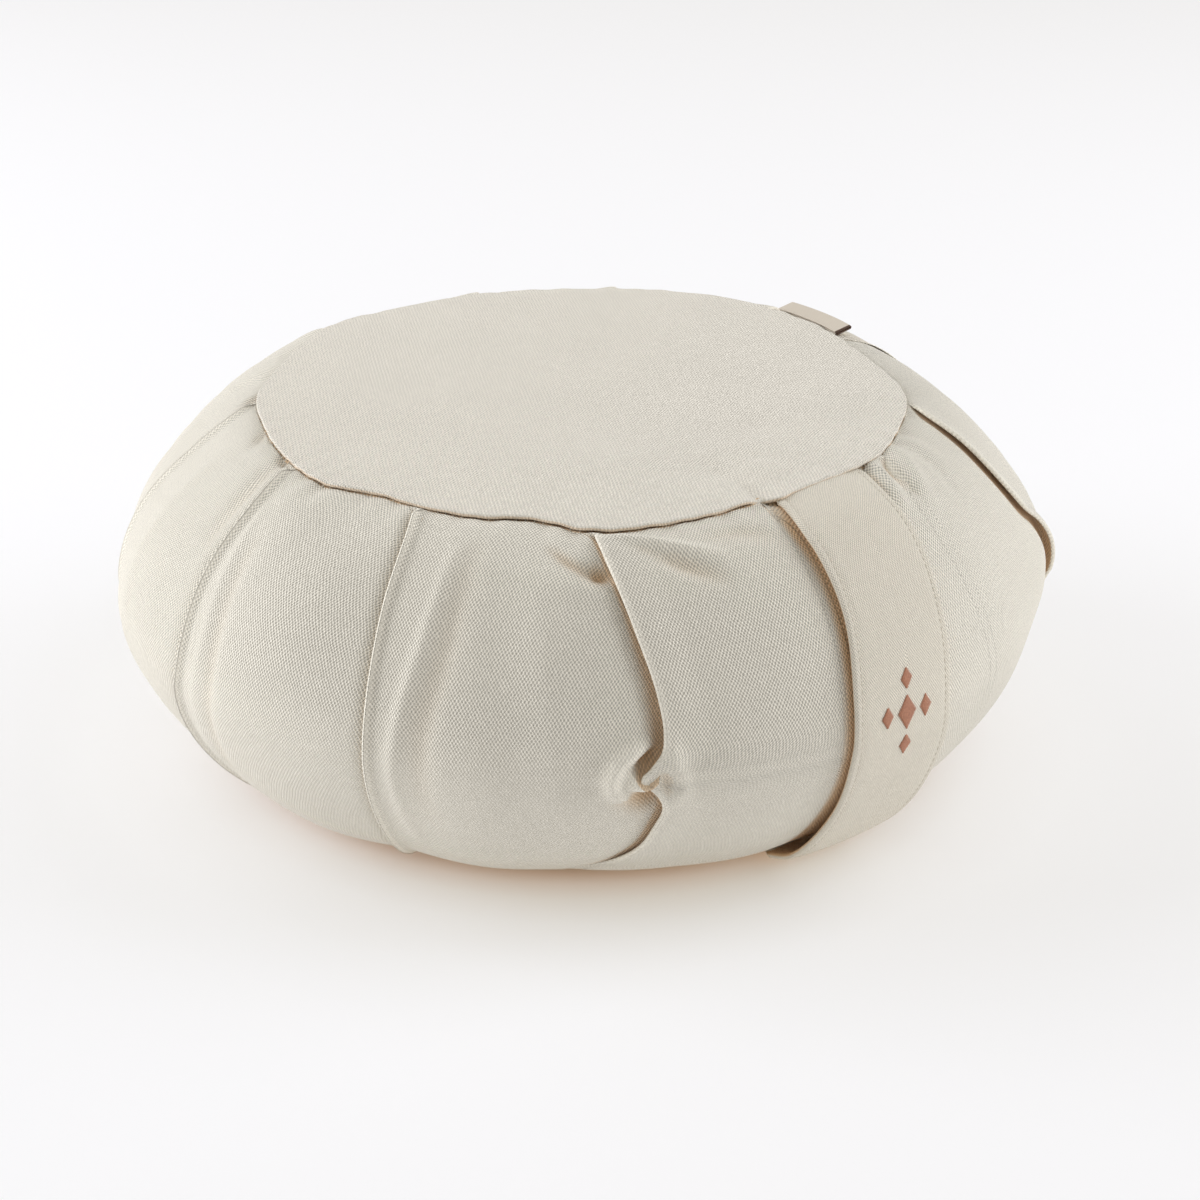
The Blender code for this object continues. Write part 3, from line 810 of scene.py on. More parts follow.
def strap_covers(turn, drop, margin, slope):
    """1 under the strap, fading to 0 outside its edges."""
    aside = np.abs(metres_aside(turn, strap_lay(drop)[0], drop))
    return smooth((STRAP_WIDTH / 2 + margin - aside) / slope)


def strap_bed(turn, drop):
    ends = np.maximum(smooth((STRAP_SEWN - drop) / 0.12), smooth((drop - 0.82) / 0.10))
    return STRAP_BED * strap_covers(turn, drop, BED_MARGIN, BED_SLOPE) * ends


print("the strap stands off by up to", max(row[2] for row in STRAP_LAY), "m")

# %% [markdown]
# ### Meshing the side
# The rows become one grid of quads. A grid this regular can be built from two index tables, and
# every point keeps its place in the cloth, in metres from its panel's folded edge and from the
# top seam, as a UV map. That is what the weave follows, so threads run parallel to each fold.

# %% The grid of the side
SIDE_ROWS, ROW_PULL = 145, 0.35


def grid_mesh(name, points, uv_before, uv_after, closed=True):
    """A mesh from a grid of points, row by row, with a UV map called weave."""
    rows, columns = points.shape[:2]
    number = np.arange(rows * columns).reshape(rows, columns)
    last = columns if closed else columns - 1
    left = number[:, np.arange(last)]
    right = number[:, (np.arange(last) + 1) % columns]
    faces = np.stack([left[:-1], left[1:], right[1:], right[:-1]], axis=-1).reshape(-1, 4)
    made = bpy.data.meshes.new(name)
    made.from_pydata(points.reshape(-1, 3), [], faces)
    shape = (rows, last, 2)
    near = uv_after[:, :last].reshape(shape)
    far = np.roll(uv_before, -1, axis=1)[:, :last].reshape(shape)
    corners = np.stack([near[:-1], near[1:], far[1:], far[:-1]], axis=2)
    layer = made.uv_layers.new(name="weave")
    layer.data.foreach_set("uv", corners.reshape(-1).astype(np.float32))
    made.shade_smooth()
    return made


def set_warm(mesh, shade):
    """Stores each point's painted warm shade for the canvas material; below 0 it is a painted
    highlight.
    """
    warm = mesh.attributes.new("warm", "FLOAT", "POINT")
    warm.data.foreach_set("value", np.asarray(shade, np.float32).reshape(-1))


def over_glow(glow, shade):
    """Lay a warm shade over the folds' own, and leave lit edges alone where there's none."""
    return np.where(shade > 0.02, np.maximum(glow, shade), glow)


def side_grid(drops):
    """Points, cloth coordinates, panels and warm shade of the whole side, as arrays."""
    rows = [side_row(float(drop)) for drop in drops]
    turn, lift, panel, length, glow = [np.array([row[k] for row in rows]) for k in range(5)]
    drop = np.repeat(drops[:, None], turn.shape[1], axis=1)
    lift = lift + pit_lift(turn, drop) + swell_lift(turn, drop) + bulge_lift(turn, drop)
    lift -= strap_bed(turn, drop)
    glow = over_glow(glow, strap_covers(turn, drop, SHADE_MARGIN, SHADE_SLOPE))
    for crease in CREASES:
        columns = np.flatnonzero(panel[0] == crease["panel"])
        part = (slice(None), columns)
        shown = crease_share(crease, turn[part], drop[part])
        lift[part] += crease["lift"] * MILLIMETRE * shown
        # Painted warm shade along a crease; a glow below 0 paints a highlight on it.
        tint = crease["glow"] * shown
        glow[part] = np.where(np.abs(tint) > np.abs(glow[part]), tint, glow[part])
    lift += pucker_lift(turn, drop) + groove_lift(drop)
    return turn, drop, lift, panel, length, glow


drops = crowded(np.linspace(0.0, 1.0, SIDE_ROWS), ROW_PULL)
turn, drop, lift, panel, length, glow = side_grid(drops)
side_points = side_point(turn, drop, lift)
step = np.linalg.norm(np.diff(side_point(0.0 * drops, drops, 0.0 * drops), axis=0), axis=-1)
down = np.concatenate([[0.0], np.cumsum(step)])
print("side grid", side_points.shape, "cloth from seam to seam", round(down[-1], 4), "m")

# %% [markdown]
# Beyond both seams two more rows go in under the discs, and a fan of faces closes each end. So the
# cushion is one closed body, as a stuffed one is. Each panel's cloth starts at a place of its own
# in the weave, because two panels on the real strip never match across a fold.


# %% From the grid to a closed cushion
TOP_TUCK = ((0.0030, -0.0003), (0.0015, 0.0))  # how far in and how far up each row goes
FOOT_TUCK = ((0.0015, 0.0), (0.0045, 0.0))
PANEL_SHIFT = 0.11
TURN_LENGTH = 0.002  # cloth between a panel's last column and the next panel's first
TOP_SHADE, FOOT_SHADE = 0.8, 0.6  # warm shade close to the seams


def tucked_rows(points, seam_z, steps):
    flat = points[:, :2] / np.linalg.norm(points[:, :2], axis=1, keepdims=True)
    made = []
    for inward, up_by in steps:
        row = points.copy()
        row[:, :2] -= flat * inward
        row[:, 2] = np.clip(seam_z + up_by, CLOTH + GAP, None)
        made.append(row)
    return np.array(made)


def side_cloth():
    """The padded piece: pleated rows, tucked in at both seams. Also says how many columns."""
    top = tucked_rows(side_points[0], SEAM_HEIGHT - GROOVE_DEPTH, TOP_TUCK)
    low = tucked_rows(side_points[-1], CLOTH + GAP, FOOT_TUCK)
    points = np.concatenate([top, side_points, low])
    before = [-inward for inward, _ in TOP_TUCK]
    after = [down[-1] + inward for inward, _ in FOOT_TUCK]
    fall = np.concatenate([before, down, after])
    fall = np.repeat(fall[:, None], points.shape[1], axis=1)
    along = np.concatenate([length[:1]] * 2 + [length] + [length[-1:]] * 2)
    own = along + PANEL_SHIFT * panel[:1]
    entering = own.copy()
    change = np.flatnonzero(panel[0] != np.roll(panel[0], 1))
    entering[:, change] = own[:, change - 1] + TURN_LENGTH
    uv_after = np.stack([own, fall], axis=-1)
    uv_before = np.stack([entering, fall], axis=-1)
    mesh = grid_mesh("side_cloth", points, uv_before, uv_after)
    seam = np.ones((2, points.shape[1]))
    near_foot = FOOT_SHADE * smooth((drop - 0.90) / 0.08)
    near_seam = np.maximum(TOP_SHADE * (drop < 0.004), near_foot)
    set_warm(mesh, np.concatenate([seam, over_glow(glow, near_seam), seam]))
    return add_object("side_cloth", mesh), points.shape[1]


def cap_ends(piece, columns):
    """Closes a grid's first and last ring with a fan each, and points the faces outwards."""
    builder = bmesh.new()
    builder.from_mesh(piece.data)
    layer = builder.loops.layers.uv["weave"]
    corners = list(builder.verts)
    for ring, flip in ((corners[:columns], False), (corners[-columns:], True)):
        centre = builder.verts.new(sum((vert.co for vert in ring), Vector()) / columns)
        for k in range(columns):
            fan = (centre, ring[k], ring[(k + 1) % columns])
            face = builder.faces.new(fan[::-1] if flip else fan)
            for loop in face.loops:
                loop[layer].uv = loop.vert.co.xy
    bmesh.ops.recalc_face_normals(builder, faces=builder.faces)
    builder.to_mesh(piece.data)
    builder.free()
    piece.data.shade_smooth()


side, side_columns = side_cloth()
cap_ends(side, side_columns)
print("side cloth:", len(side.data.vertices), "points", len(side.data.polygons), "faces")

# %% [markdown]
# ## The top disc
# The disc is a plain circle of canvas. Its rim follows the seam, with a corner at each pleat, and
# rolls over to a rounded edge that stands a little proud of the side. The face is nearly flat: a
# low crown, a few shallow hollows left by the filling, and small puckers that run in from the rim.

# %% Disc sizes and hollows
DISC_COLUMNS = 540
DISC_OUT = 0.0004  # the rolled edge stands this far outside the seam
EDGE_ROUND = CLOTH / 2
DISC_PUCKER, DISC_PUCKER_REACH = 0.35, 0.008  # the side's gathers, lower and shorter on the disc
HOLLOWS = (  # direction, distance from the middle, radius and depth in metres
    (20.0, 0.060, 0.055, 0.0010),
    (150.0, 0.075, 0.060, 0.0008),
    (-100.0, 0.070, 0.050, 0.0006),
    (-4.0, 0.128, 0.012, 0.0016),
    (75.0, 0.120, 0.020, 0.0008),
    (-36.0, 0.130, 0.016, -0.0006),
    (-30.0, 0.088, 0.028, -0.0018),
    (-55.0, 0.100, 0.024, -0.0007),
    (3.6, 0.112, 0.008, -0.0011),
    (9.5, 0.094, 0.009, -0.0010),
    (-6.7, 0.104, 0.011, 0.0014),
    (24.0, 0.082, 0.011, 0.0012),
    (41.0, 0.122, 0.008, 0.0010),
)
RIM_PINCHES = (  # direction, width in degrees, length inwards and depth in metres
    (-5.0, 1.2, 0.015, 0.0015),
    (-8.5, 2.2, 0.012, -0.0010),
    (-1.0, 2.4, 0.010, -0.0008),
    (24.5, 1.8, 0.010, 0.0010),
    (48.0, 2.2, 0.012, 0.0007),
    (-64.5, 2.4, 0.010, 0.0005),
    (-93.0, 2.4, 0.010, 0.0006),
    (-120.0, 2.6, 0.012, 0.0006),
)


def disc_surface(turn, radius):
    """Height of the disc's face over the seam's level, for arrays."""
    rim = seam_radius(turn) + DISC_OUT
    share = np.clip(radius / rim, 0.0, 1.0)
    height = CROWN * (1.0 - share**2.6)
    x, y = radius * np.cos(np.radians(turn)), radius * np.sin(np.radians(turn))
    for aim, reach, size, depth in HOLLOWS:
        away = (x - reach * cos(radians(aim))) ** 2 + (y - reach * sin(radians(aim))) ** 2
        height -= depth * np.exp(-away / size**2)
    for aim, width, reach, depth in RIM_PINCHES:
        beside = np.exp(-((turned_from(turn, aim) / width) ** 2))
        height -= depth * beside * np.exp(-(rim - radius) / reach)
    pucker = DISC_PUCKER * PUCKER_HEIGHT * pucker_wave(turn)
    return height + pucker * np.exp(-(rim - radius) / DISC_PUCKER_REACH)


print(len(HOLLOWS), "hollows and", len(RIM_PINCHES), "pinches")

# %% [markdown]
# A disc cut as a flat sheet and thickened would have a square rim. So its rings are laid one by
# one: over the face, round the rolled edge and back below, which makes a thin closed cloth.

# %% Meshing the disc
RIM_SHADE = 0.75  # painted warm shade in the seam, most of it at the front
RIM_HIGHLIGHT = 0.3  # painted highlight: the rolled edge is lighter than the disc
RIM_FRONT, FRONT_HALF, FRONT_SLOPE = -42.0, 75.0, 30.0  # degrees
FACE_SHARES = np.concatenate([
    np.linspace(0.02, 0.86, 40),
    1.0 - 0.14 * np.linspace(1, 0, 26)[1:] ** 1.5,
])
UNDER_SHARES = (0.97, 0.9, 0.7, 0.4, 0.02)


def disc_rings(turn, rim):
    """Rows of (radius, height, distance along the cloth), round the edge and back below."""
    base = SEAM_HEIGHT + GAP
    rings = []
    for share in FACE_SHARES:
        radius = (rim - EDGE_ROUND) * share
        rings.append((radius, base + CLOTH + disc_surface(turn, radius), radius))
    for angle in np.radians(np.linspace(72.0, -90.0, 10)):
        radius = rim - EDGE_ROUND + EDGE_ROUND * cos(angle)
        height = base + disc_surface(turn, rim) + EDGE_ROUND + EDGE_ROUND * sin(angle)
        rings.append((radius, height, rim + EDGE_ROUND * (1.2 - angle)))
    for share in UNDER_SHARES:
        radius = (rim - EDGE_ROUND) * share
        rings.append((radius, base + np.minimum(disc_surface(turn, radius), CROWN), radius))
    return rings


def disc_cloth():
    turn = np.linspace(0.0, 360.0, DISC_COLUMNS, endpoint=False)
    rings = disc_rings(turn, seam_radius(turn) + DISC_OUT)
    grid = np.array([spots_round(turn, radius, height) for radius, height, _ in rings])
    along = np.array([spots_round(turn, reach, 0.0)[:, :2] for _, _, reach in rings])
    mesh = grid_mesh("top_cloth", grid, along, along)
    front = smooth((FRONT_HALF - np.abs(turned_from(turn, RIM_FRONT))) / FRONT_SLOPE)
    shade = np.zeros(grid.shape[:2])
    # Painted shade in the seam at the front, and a painted highlight on the rest of the rolled
    # edge.
    shade[len(FACE_SHARES) + 3:] = RIM_SHADE * front - RIM_HIGHLIGHT
    set_warm(mesh, shade)
    return add_object("top_cloth", mesh)


top = disc_cloth()
cap_ends(top, DISC_COLUMNS)
print("top cloth:", len(top.data.polygons), "faces")

# %% [markdown]
# ## The bottom disc
# It lies flat on the floor inside the bottom seam, so all of it that shows is a rounded edge.


# %% The bottom cloth
FOOT_COLUMNS = 180
FOOT_INSET = 0.0005  # its edge lies this far inside the seam
FOOT_SHARES = (0.02, 0.3, 0.6, 0.9)


def bottom_cloth():
    turn = np.linspace(0.0, 360.0, FOOT_COLUMNS, endpoint=False)
    rim = FOOT_RADIUS - FOOT_INSET
    rounds = np.radians(np.linspace(90.0, -90.0, 9))
    profile = [(rim * share, CLOTH) for share in FOOT_SHARES]
    profile += [(rim - EDGE_ROUND * (1 - cos(a)), EDGE_ROUND * (1 + sin(a))) for a in rounds]
    profile += [(rim * share, 0.0) for share in reversed(FOOT_SHARES)]
    grid = np.array([spots_round(turn, radius, height) for radius, height in profile])
    return add_object("bottom_cloth", grid_mesh("bottom_cloth", grid, grid[..., :2], grid[..., :2]))


bottom = bottom_cloth()
cap_ends(bottom, FOOT_COLUMNS)
print("bottom cloth:", len(bottom.data.polygons), "faces")

# %% [markdown]
# ## The carry strap
# The strap is a tube of finer canvas, pressed flat and stitched down both edges, so in section it
# is a flat bar with round edges and a shallow line of stitches three millimetres in. It is lofted
# along the line that the frame's strap follows. The section needs two vectors at each step: across
# the strap, and out from the cushion.

# %% Strap sizes
STRAP_STEPS = 110
STITCH_INSET = 0.0030
STITCH_SINK = 0.00045
STITCH_WIDTH = 0.0007
STRAP_ARCH = 0.0012
STRAP_CORNER = 0.0011
STRAP_WAVE = 0.0003  # how much the edges wander in and out
INNER_SHADE = 1.0  # the strap's inner face is in the folds' own warm shade
LOOK_DOWN = 0.004  # the step in drop that gives the strap's direction


def way_out(turn):
    """The level way out from the middle, at a direction in degrees."""
    return Vector((cos(radians(turn)), sin(radians(turn)), 0.0))


def strap_middle(turn, drop, clear):
    turn, drop = np.full(1, turn), np.full(1, drop)
    return Vector(side_point(turn, drop, clear - strap_bed(turn, drop))[0])


def strap_frame(drop):
    """Middle of the strap's inner face, the way across and the way out, at a share of the drop."""
    turn, clear = [float(value) for value in strap_lay(drop)]
    here, below = [strap_middle(turn, d, clear) for d in (drop, drop + LOOK_DOWN)]
    across = Vector((-sin(radians(turn)), cos(radians(turn)), 0.0))
    out = across.cross((below - here).normalized()).normalized()
    if out.dot(way_out(turn)) < 0.0 and drop < 0.9:
        out = -out
    narrow = 1.0 - STRAP_GATHER * float(smooth((STRAP_SEWN - drop) / STRAP_SEWN))
    return here, across * narrow, out


# %% The strap's section
def strap_section():
    """Points (across, out) round the strap's section, the cloth length, and which lie inside."""
    half = STRAP_WIDTH / 2 - STRAP_CORNER
    flat = np.linspace(-half, half, 41)
    corner = np.radians(np.linspace(90.0, -90.0, 7))
    upper = [(x, STRAP_THICKNESS) for x in flat]
    right = [
        (half + STRAP_CORNER * cos(angle), STRAP_THICKNESS / 2 * (1 + sin(angle)))
        for angle in corner[1:-1]
    ]
    lower = [(x, 0.0) for x in flat[::-4]]
    left = [(-x, y) for x, y in reversed(right)]
    section = np.array(upper + right + lower + left)
    edge = np.abs(np.abs(section[:, 0]) - (STRAP_WIDTH / 2 - STITCH_INSET))
    face = section[:, 1] > STRAP_THICKNESS * 0.6
    inner = section[:, 1] < STRAP_THICKNESS * 0.3
    section[:, 1] -= np.where(face, STITCH_SINK * np.exp(-((edge / STITCH_WIDTH) ** 2)), 0.0)
    section[:, 1] += STRAP_ARCH * (1.0 - (2.0 * section[:, 0] / STRAP_WIDTH) ** 2)
    step = np.linalg.norm(np.diff(section, axis=0, append=section[:1]), axis=1)
    return section, np.concatenate([[0.0], np.cumsum(step)]), inner


print(len(strap_section()[0]), "points round the strap")


# %% Lofting the strap
def strap_cloth():
    """The strap's closed cloth, its frames and its length between the seams."""
    section, around, inner = strap_section()
    drops = np.linspace(STRAP_TOP, STRAP_FOOT, STRAP_STEPS)
    frames = [strap_frame(float(d)) for d in drops]
    wave = STRAP_WAVE * np.sin(np.arange(STRAP_STEPS) * 0.31 + 1.0)
    points = np.array([
        [middle + across * (x + w * np.sign(x)) + out * y for x, y in section]
        for (middle, across, out), w in zip(frames, wave)
    ])
    middles = np.array([frame[0] for frame in frames])
    fall = np.concatenate([[0.0], np.cumsum(np.linalg.norm(np.diff(middles, axis=0), axis=1))])
    fall = np.repeat(fall[:, None], points.shape[1], axis=1)
    leave = np.stack([np.repeat(around[None, :-1], len(fall), axis=0), fall], axis=-1)
    enter = leave.copy()
    enter[:, 0, 0] = around[-1]
    mesh = grid_mesh("strap_cloth", points, enter, leave)
    set_warm(mesh, np.repeat(INNER_SHADE * inner[None], STRAP_STEPS, axis=0))
    piece = add_object("strap_cloth", mesh)
    cap_ends(piece, points.shape[1])
    return piece, frames, float(fall[-1, 0])


strap, strap_frames, strap_length = strap_cloth()
print("strap:", len(strap.data.polygons), "faces,", round(strap_length, 4), "m long")

# %% [markdown]
# ## The folded tape in the seam
# A short piece of woven tape, folded in two, is caught in the top seam at the back. The fold stands
# out and a little up. It is left plain here, with only a dark line along one end.

# %% The tape
LABEL_FROM, LABEL_TO = 87.0, 103.5
LABEL_REACH, LABEL_CLOTH, LABEL_TILT = 0.0088, 0.0006, 10.0
LABEL_STEPS = 34
LABEL_OUT, LABEL_SEAT = 0.0013, Vector((0.0, 0.0, 0.0016))  # where it comes out of the seam
LABEL_RADIUS = 0.141  # of the seam there, which gives the tape's length


def seam_spot(turn, outside):
    radius = float(seam_radius(turn)) + outside
    return Vector((radius * cos(radians(turn)), radius * sin(radians(turn)), SEAM_HEIGHT))


def label_path():
    """The folded tape in section: (out from the seam, up), tilted up a little."""
    layer = LABEL_CLOTH / 2 + GAP
    straight = LABEL_REACH - layer
    path = [(straight * s, -layer) for s in np.linspace(0.0, 1.0, 8)]
    path += [(straight + layer * cos(a), layer * sin(a)) for a in np.radians((-60, -30, 0, 30, 60))]
    path += [(reach, -rise) for reach, rise in reversed(path[:8])]
    tilt = radians(LABEL_TILT)
    return [(r * cos(tilt) - h * sin(tilt), r * sin(tilt) + h * cos(tilt)) for r, h in path]


def label_tape():
    """One sheet, folded: Solidify gives it its thickness."""
    along = seam_spot(LABEL_TO, 0.0) - seam_spot(LABEL_FROM, 0.0)
    outward = Vector((along.y, -along.x, 0.0)).normalized()
    outward = outward if outward.dot(seam_spot(LABEL_FROM, 0.0)) > 0.0 else -outward
    path = label_path()
    rows, spots = [], []
    for turn in np.linspace(LABEL_FROM, LABEL_TO, LABEL_STEPS):
        seat = seam_spot(float(turn), LABEL_OUT) + LABEL_SEAT
        rows.append([seat + outward * out + Vector((0, 0, rise)) for out, rise in path])
        spots.append([(turn - LABEL_FROM) * radians(1.0) * LABEL_RADIUS] * len(path))
    around = np.linspace(0.0, 2.0 * LABEL_REACH, len(path))
    place = np.stack([np.array(spots), np.repeat(around[None], len(rows), axis=0)], axis=-1)
    mesh = grid_mesh("label_tape", np.array(rows), place, place, closed=False)
    piece = add_object("label_tape", mesh)
    shell = piece.modifiers.new("cloth thickness", "SOLIDIFY")
    shell.thickness = LABEL_CLOTH
    shell.offset = 0.0
    return piece, float(np.array(spots).max())


label, label_length = label_tape()
print("tape", round(label_length, 4), "m along the seam")

# %% [markdown]
# ## Threads
# Every stitch here is the same small thing: a short, thick piece of thread that lies on the cloth.
# Geometry Nodes put one on each point of a plain mesh and turn it to the direction that the point
# carries. The points come from loops in Python, where the seams' own formulas are at hand.


# %% A node tree that lays threads on points
THREAD_SIDES, THREAD_RINGS = 6, 5


def carried(points, name, data_type):
    """A value that every point carries under this name."""
    settings = {"data_type": data_type}
    return points.node("GeometryNodeInputNamedAttribute", settings, output="Attribute", Name=name)


def thread_tree():
    """Inputs: Thread radius, Sides and Material. Points carry along (vector) and reach (metres)."""
    tree = bpy.data.node_groups.new("lay threads", "GeometryNodeTree")
    face = tree.interface
    for name, kind, value in (
        ("Geometry", "NodeSocketGeometry", None),
        ("Thread radius", "NodeSocketFloat", 0.0002),
        ("Sides", "NodeSocketInt", THREAD_SIDES),
        ("Material", "NodeSocketMaterial", None),
    ):
        made = face.new_socket(name, in_out="INPUT", socket_type=kind)
        if value is not None:
            made.default_value = value
    face.new_socket("Geometry", in_out="OUTPUT", socket_type="NodeSocketGeometry")
    points = Sock(tree).node("NodeGroupInput", output="Geometry")
    radius = points.beside("Thread radius")
    bead = points.node("GeometryNodeMeshUVSphere", output="Mesh", Segments=points.beside("Sides"),
                       Rings=THREAD_RINGS, Radius=1.0)
    way = carried(points, "along", "FLOAT_VECTOR")
    way = way.node("FunctionNodeAlignEulerToVector", {"axis": "Z"}, Vector=way)
    half = carried(points, "reach", "FLOAT") * 0.5
    size = half.node("ShaderNodeCombineXYZ", i0=radius, i1=radius, i2=half)
    laid = points.node("GeometryNodeInstanceOnPoints", Points=points, Instance=bead, Rotation=way,
                       Scale=size)
    real = laid.node("GeometryNodeRealizeInstances", i0=laid)
    real = real.node("GeometryNodeSetMaterial", Geometry=real, Material=points.beside("Material"))
    real.feed(tree.nodes.new("NodeGroupOutput"), "Geometry")
    return tree


THREADS = thread_tree()
print("lay threads:", len(THREADS.nodes), "nodes")


# %% Laying threads
def lay_threads(name, stitches, radius, material):
    """A plain mesh of threads from rows of (place, direction, length)."""
    points = bpy.data.meshes.new(name + " points")
    points.from_pydata([place for place, _, _ in stitches], [], [])
    along = points.attributes.new("along", "FLOAT_VECTOR", "POINT")
    along.data.foreach_set("vector", np.array([list(way) for _, way, _ in stitches]).ravel())
    reach = points.attributes.new("reach", "FLOAT", "POINT")
    reach.data.foreach_set("value", np.array([size for _, _, size in stitches]))
    piece = add_object(name, points)
    laid = piece.modifiers.new("lay threads", "NODES")
    laid.node_group = THREADS
    sockets = {s.name: s.identifier for s in THREADS.interface.items_tree if s.in_out == "INPUT"}
    laid[sockets["Thread radius"]] = radius
    laid[sockets["Sides"]] = THREAD_SIDES
    laid[sockets["Material"]] = material
    seen = bpy.context.evaluated_depsgraph_get()
    mesh = bpy.data.meshes.new_from_object(piece.evaluated_get(seen))
    piece.modifiers.clear()
    piece.data = mesh
    mesh.shade_smooth()
    print(name + ":", len(stitches), "stitches", len(mesh.polygons), "faces")
    return piece


# %% [markdown]
# ## Finishes
# The canvas is a plain weave: each warp thread goes over one weft thread and under the next. The
# product of two sines makes just that pattern of bumps, each beside four hollows. The bumps are
# 0.7 mm apart round the cushion and 1 mm apart down it, so they are drawn by a Bump node.

# %% The weave
WANDER, JITTER = 1.3, 0.7  # how far threads stray, as a share of their spacing
BEND_SCALE, WANDER_SCALE, JITTER_SCALE = 118.0, 147.0, 700.0  # of the noises, per metre


def weave(place, along, down, warp, weft):
    """Heights of a plain weave, and of its warp threads alone."""
    bend = (noise(place, BEND_SCALE, 1.0) - 0.5) * (weft * WANDER)
    wander = (noise(place, WANDER_SCALE, 1.0) - 0.5) * (warp * WANDER)
    jitter = (noise(place, JITTER_SCALE, 1.0) - 0.5) * (warp * JITTER)
    across = ((along + wander + jitter) * (pi / warp)).sine()
    return across * ((down + bend - jitter) * (pi / weft)).sine(), across


# %% [markdown]
# Raw cotton also has seed flecks: small dark spots, few and far between. A Voronoi texture puts one
# in each cell, and the cell's random colour picks the few that are kept.

# %% Seed flecks
SEED_CELL = 0.022
SEED_SIZE, SEED_SHARE = 0.014, 0.86  # size as a share of a cell, and the share of cells left out
SEED_COLOUR = (0.16, 0.11, 0.06, 1.0)


def seed_flecks(place):
    away = place.node("ShaderNodeTexVoronoi", {"feature": "F1"}, output="Distance", Vector=place,
                      Scale=1.0 / SEED_CELL)
    chosen = away.beside("Color")
    rare = chosen.node("ShaderNodeSeparateColor", i0=chosen).ramp(SEED_SHARE, SEED_SHARE + 0.01)
    return (1.0 - away.ramp(0.4 * SEED_SIZE, SEED_SIZE)) * rare


# %% [markdown]
# The canvas is darker in the weave's hollows, as painted shade, drifts slowly in tone and has the
# marks of single threads. Where a panel goes in under the cushion, its weave is seen at so low an
# angle that it blurs, so its contrast fades there. Last come the painted warm shade and the
# painted highlight on the folded edges.

# %% Canvas
WARM_SHADE = (0.96, 0.72, 0.50, 1.0)
PAINTED_EDGE_HIGHLIGHT = 0.22  # painted highlight: how much lighter the cloth is on a folded edge
DOT_LOW, DOT_HIGH, DOT_MEAN = -0.55, 0.65, 0.45
TONE_LOW, TONE_HIGH = 0.55, 1.23  # the darkest and the lightest thread, as shares of the colour
UNDER_FROM, UNDER_TO, UNDER_FADE = 0.084, 0.118, 0.82  # metres down the cloth, and how much goes
ROUGH_SPREAD = 0.05
DRIFT_SCALE, SLUB_SCALE = 24.0, 330.0
STROKE_ALONG, STROKE_DOWN = 1050.0, 240.0  # a stroke is the mark of one thread, longer than wide
DRIFT_TONE, SLUB_TONE, FLECK_TONE = 0.10, 0.16, 0.45  # how much each shows in the colour


def canvas(name, colour, warp, weft, relief, dark=0.72, rows=0.06, strokes=0.12, rough=0.86):
    """Plain-weave cotton. colour is linear, warp and weft are thread spacings in metres."""
    material, shader = new_material(name, rough, sheen=0.12)
    place, along, down = cloth_place(material)
    drift = noise(place, DRIFT_SCALE, 3.0)
    slub = noise(place, SLUB_SCALE)
    over, across = weave(place, along, down, warp, weft)
    height = over * (slub * 0.9 + 0.55)
    dots = height.ramp(DOT_LOW, DOT_HIGH)
    longer = place.node("ShaderNodeCombineXYZ", i0=along * STROKE_ALONG, i1=down * STROKE_DOWN)
    stroke = noise(longer, 1.0, 1.0)
    warm = place.node("ShaderNodeAttribute", {"attribute_name": "warm"}, output="Fac")
    # Where the warm value is below 0, the cloth gets a painted highlight on a folded edge.
    edge = (warm * -1.0).clamp()
    under = down.ramp(UNDER_FROM, UNDER_TO) * UNDER_FADE
    # Painted shade: the canvas is darker where the weave dips, by the share dark.
    shade = (dots - DOT_MEAN) * (1.0 - edge) * (1.0 - under) * dark + 1.0
    shade = shade + (drift - 0.5) * DRIFT_TONE + (slub - 0.5) * SLUB_TONE
    shade = shade + across * stroke * rows + (stroke - 0.5) * strokes
    dull = tuple(c * TONE_LOW for c in colour) + (1.0,)
    full = tuple(min(c * TONE_HIGH, 0.98) for c in colour) + (1.0,)
    tone = mix_colour(((shade - TONE_LOW) / (TONE_HIGH - TONE_LOW)).clamp(), dull, full)
    tone = mix_colour(seed_flecks(place) * FLECK_TONE, tone, SEED_COLOUR)
    tint = mix_colour(warm.clamp(), (1.0, 1.0, 1.0, 1.0), WARM_SHADE)
    multiply = {"data_type": "RGBA", "blend_type": "MULTIPLY"}
    tone = tone.node("ShaderNodeMix", multiply, output=2, i0=1.0, i6=tone, i7=tint)
    light = edge * PAINTED_EDGE_HIGHLIGHT + 1.0
    tone = tone.node("ShaderNodeVectorMath", {"operation": "SCALE"}, i0=tone, Scale=light)
    tone.feed(shader, "Base Color")
    ((1.0 - height) * ROUGH_SPREAD + (rough - ROUGH_SPREAD)).feed(shader, "Roughness")
    bumped(height * 0.5, relief).feed(shader, "Normal")
    return material


CANVAS = (0.773, 0.733, 0.642)
DISC_COLOUR = (0.766, 0.722, 0.638)
STRAP_COLOUR = (0.752, 0.700, 0.598)
side_canvas = canvas("natural canvas", CANVAS, 0.00068, 0.00100, 0.00036)
disc_canvas = canvas("natural canvas disc", DISC_COLOUR, 0.00070, 0.00100, 0.00030, dark=0.50,
                     rows=0.20, strokes=0.24)
strap_canvas = canvas("strap canvas", STRAP_COLOUR, 0.00052, 0.00066, 0.00020, dark=0.60)
print("canvas nodes:", len(side_canvas.node_tree.nodes))

# %% [markdown]
# The tape is woven much finer than the canvas, with ribs. Spun thread has fine turns in colour and
# height. They are too small to follow one by one, so a fine noise stands for them.


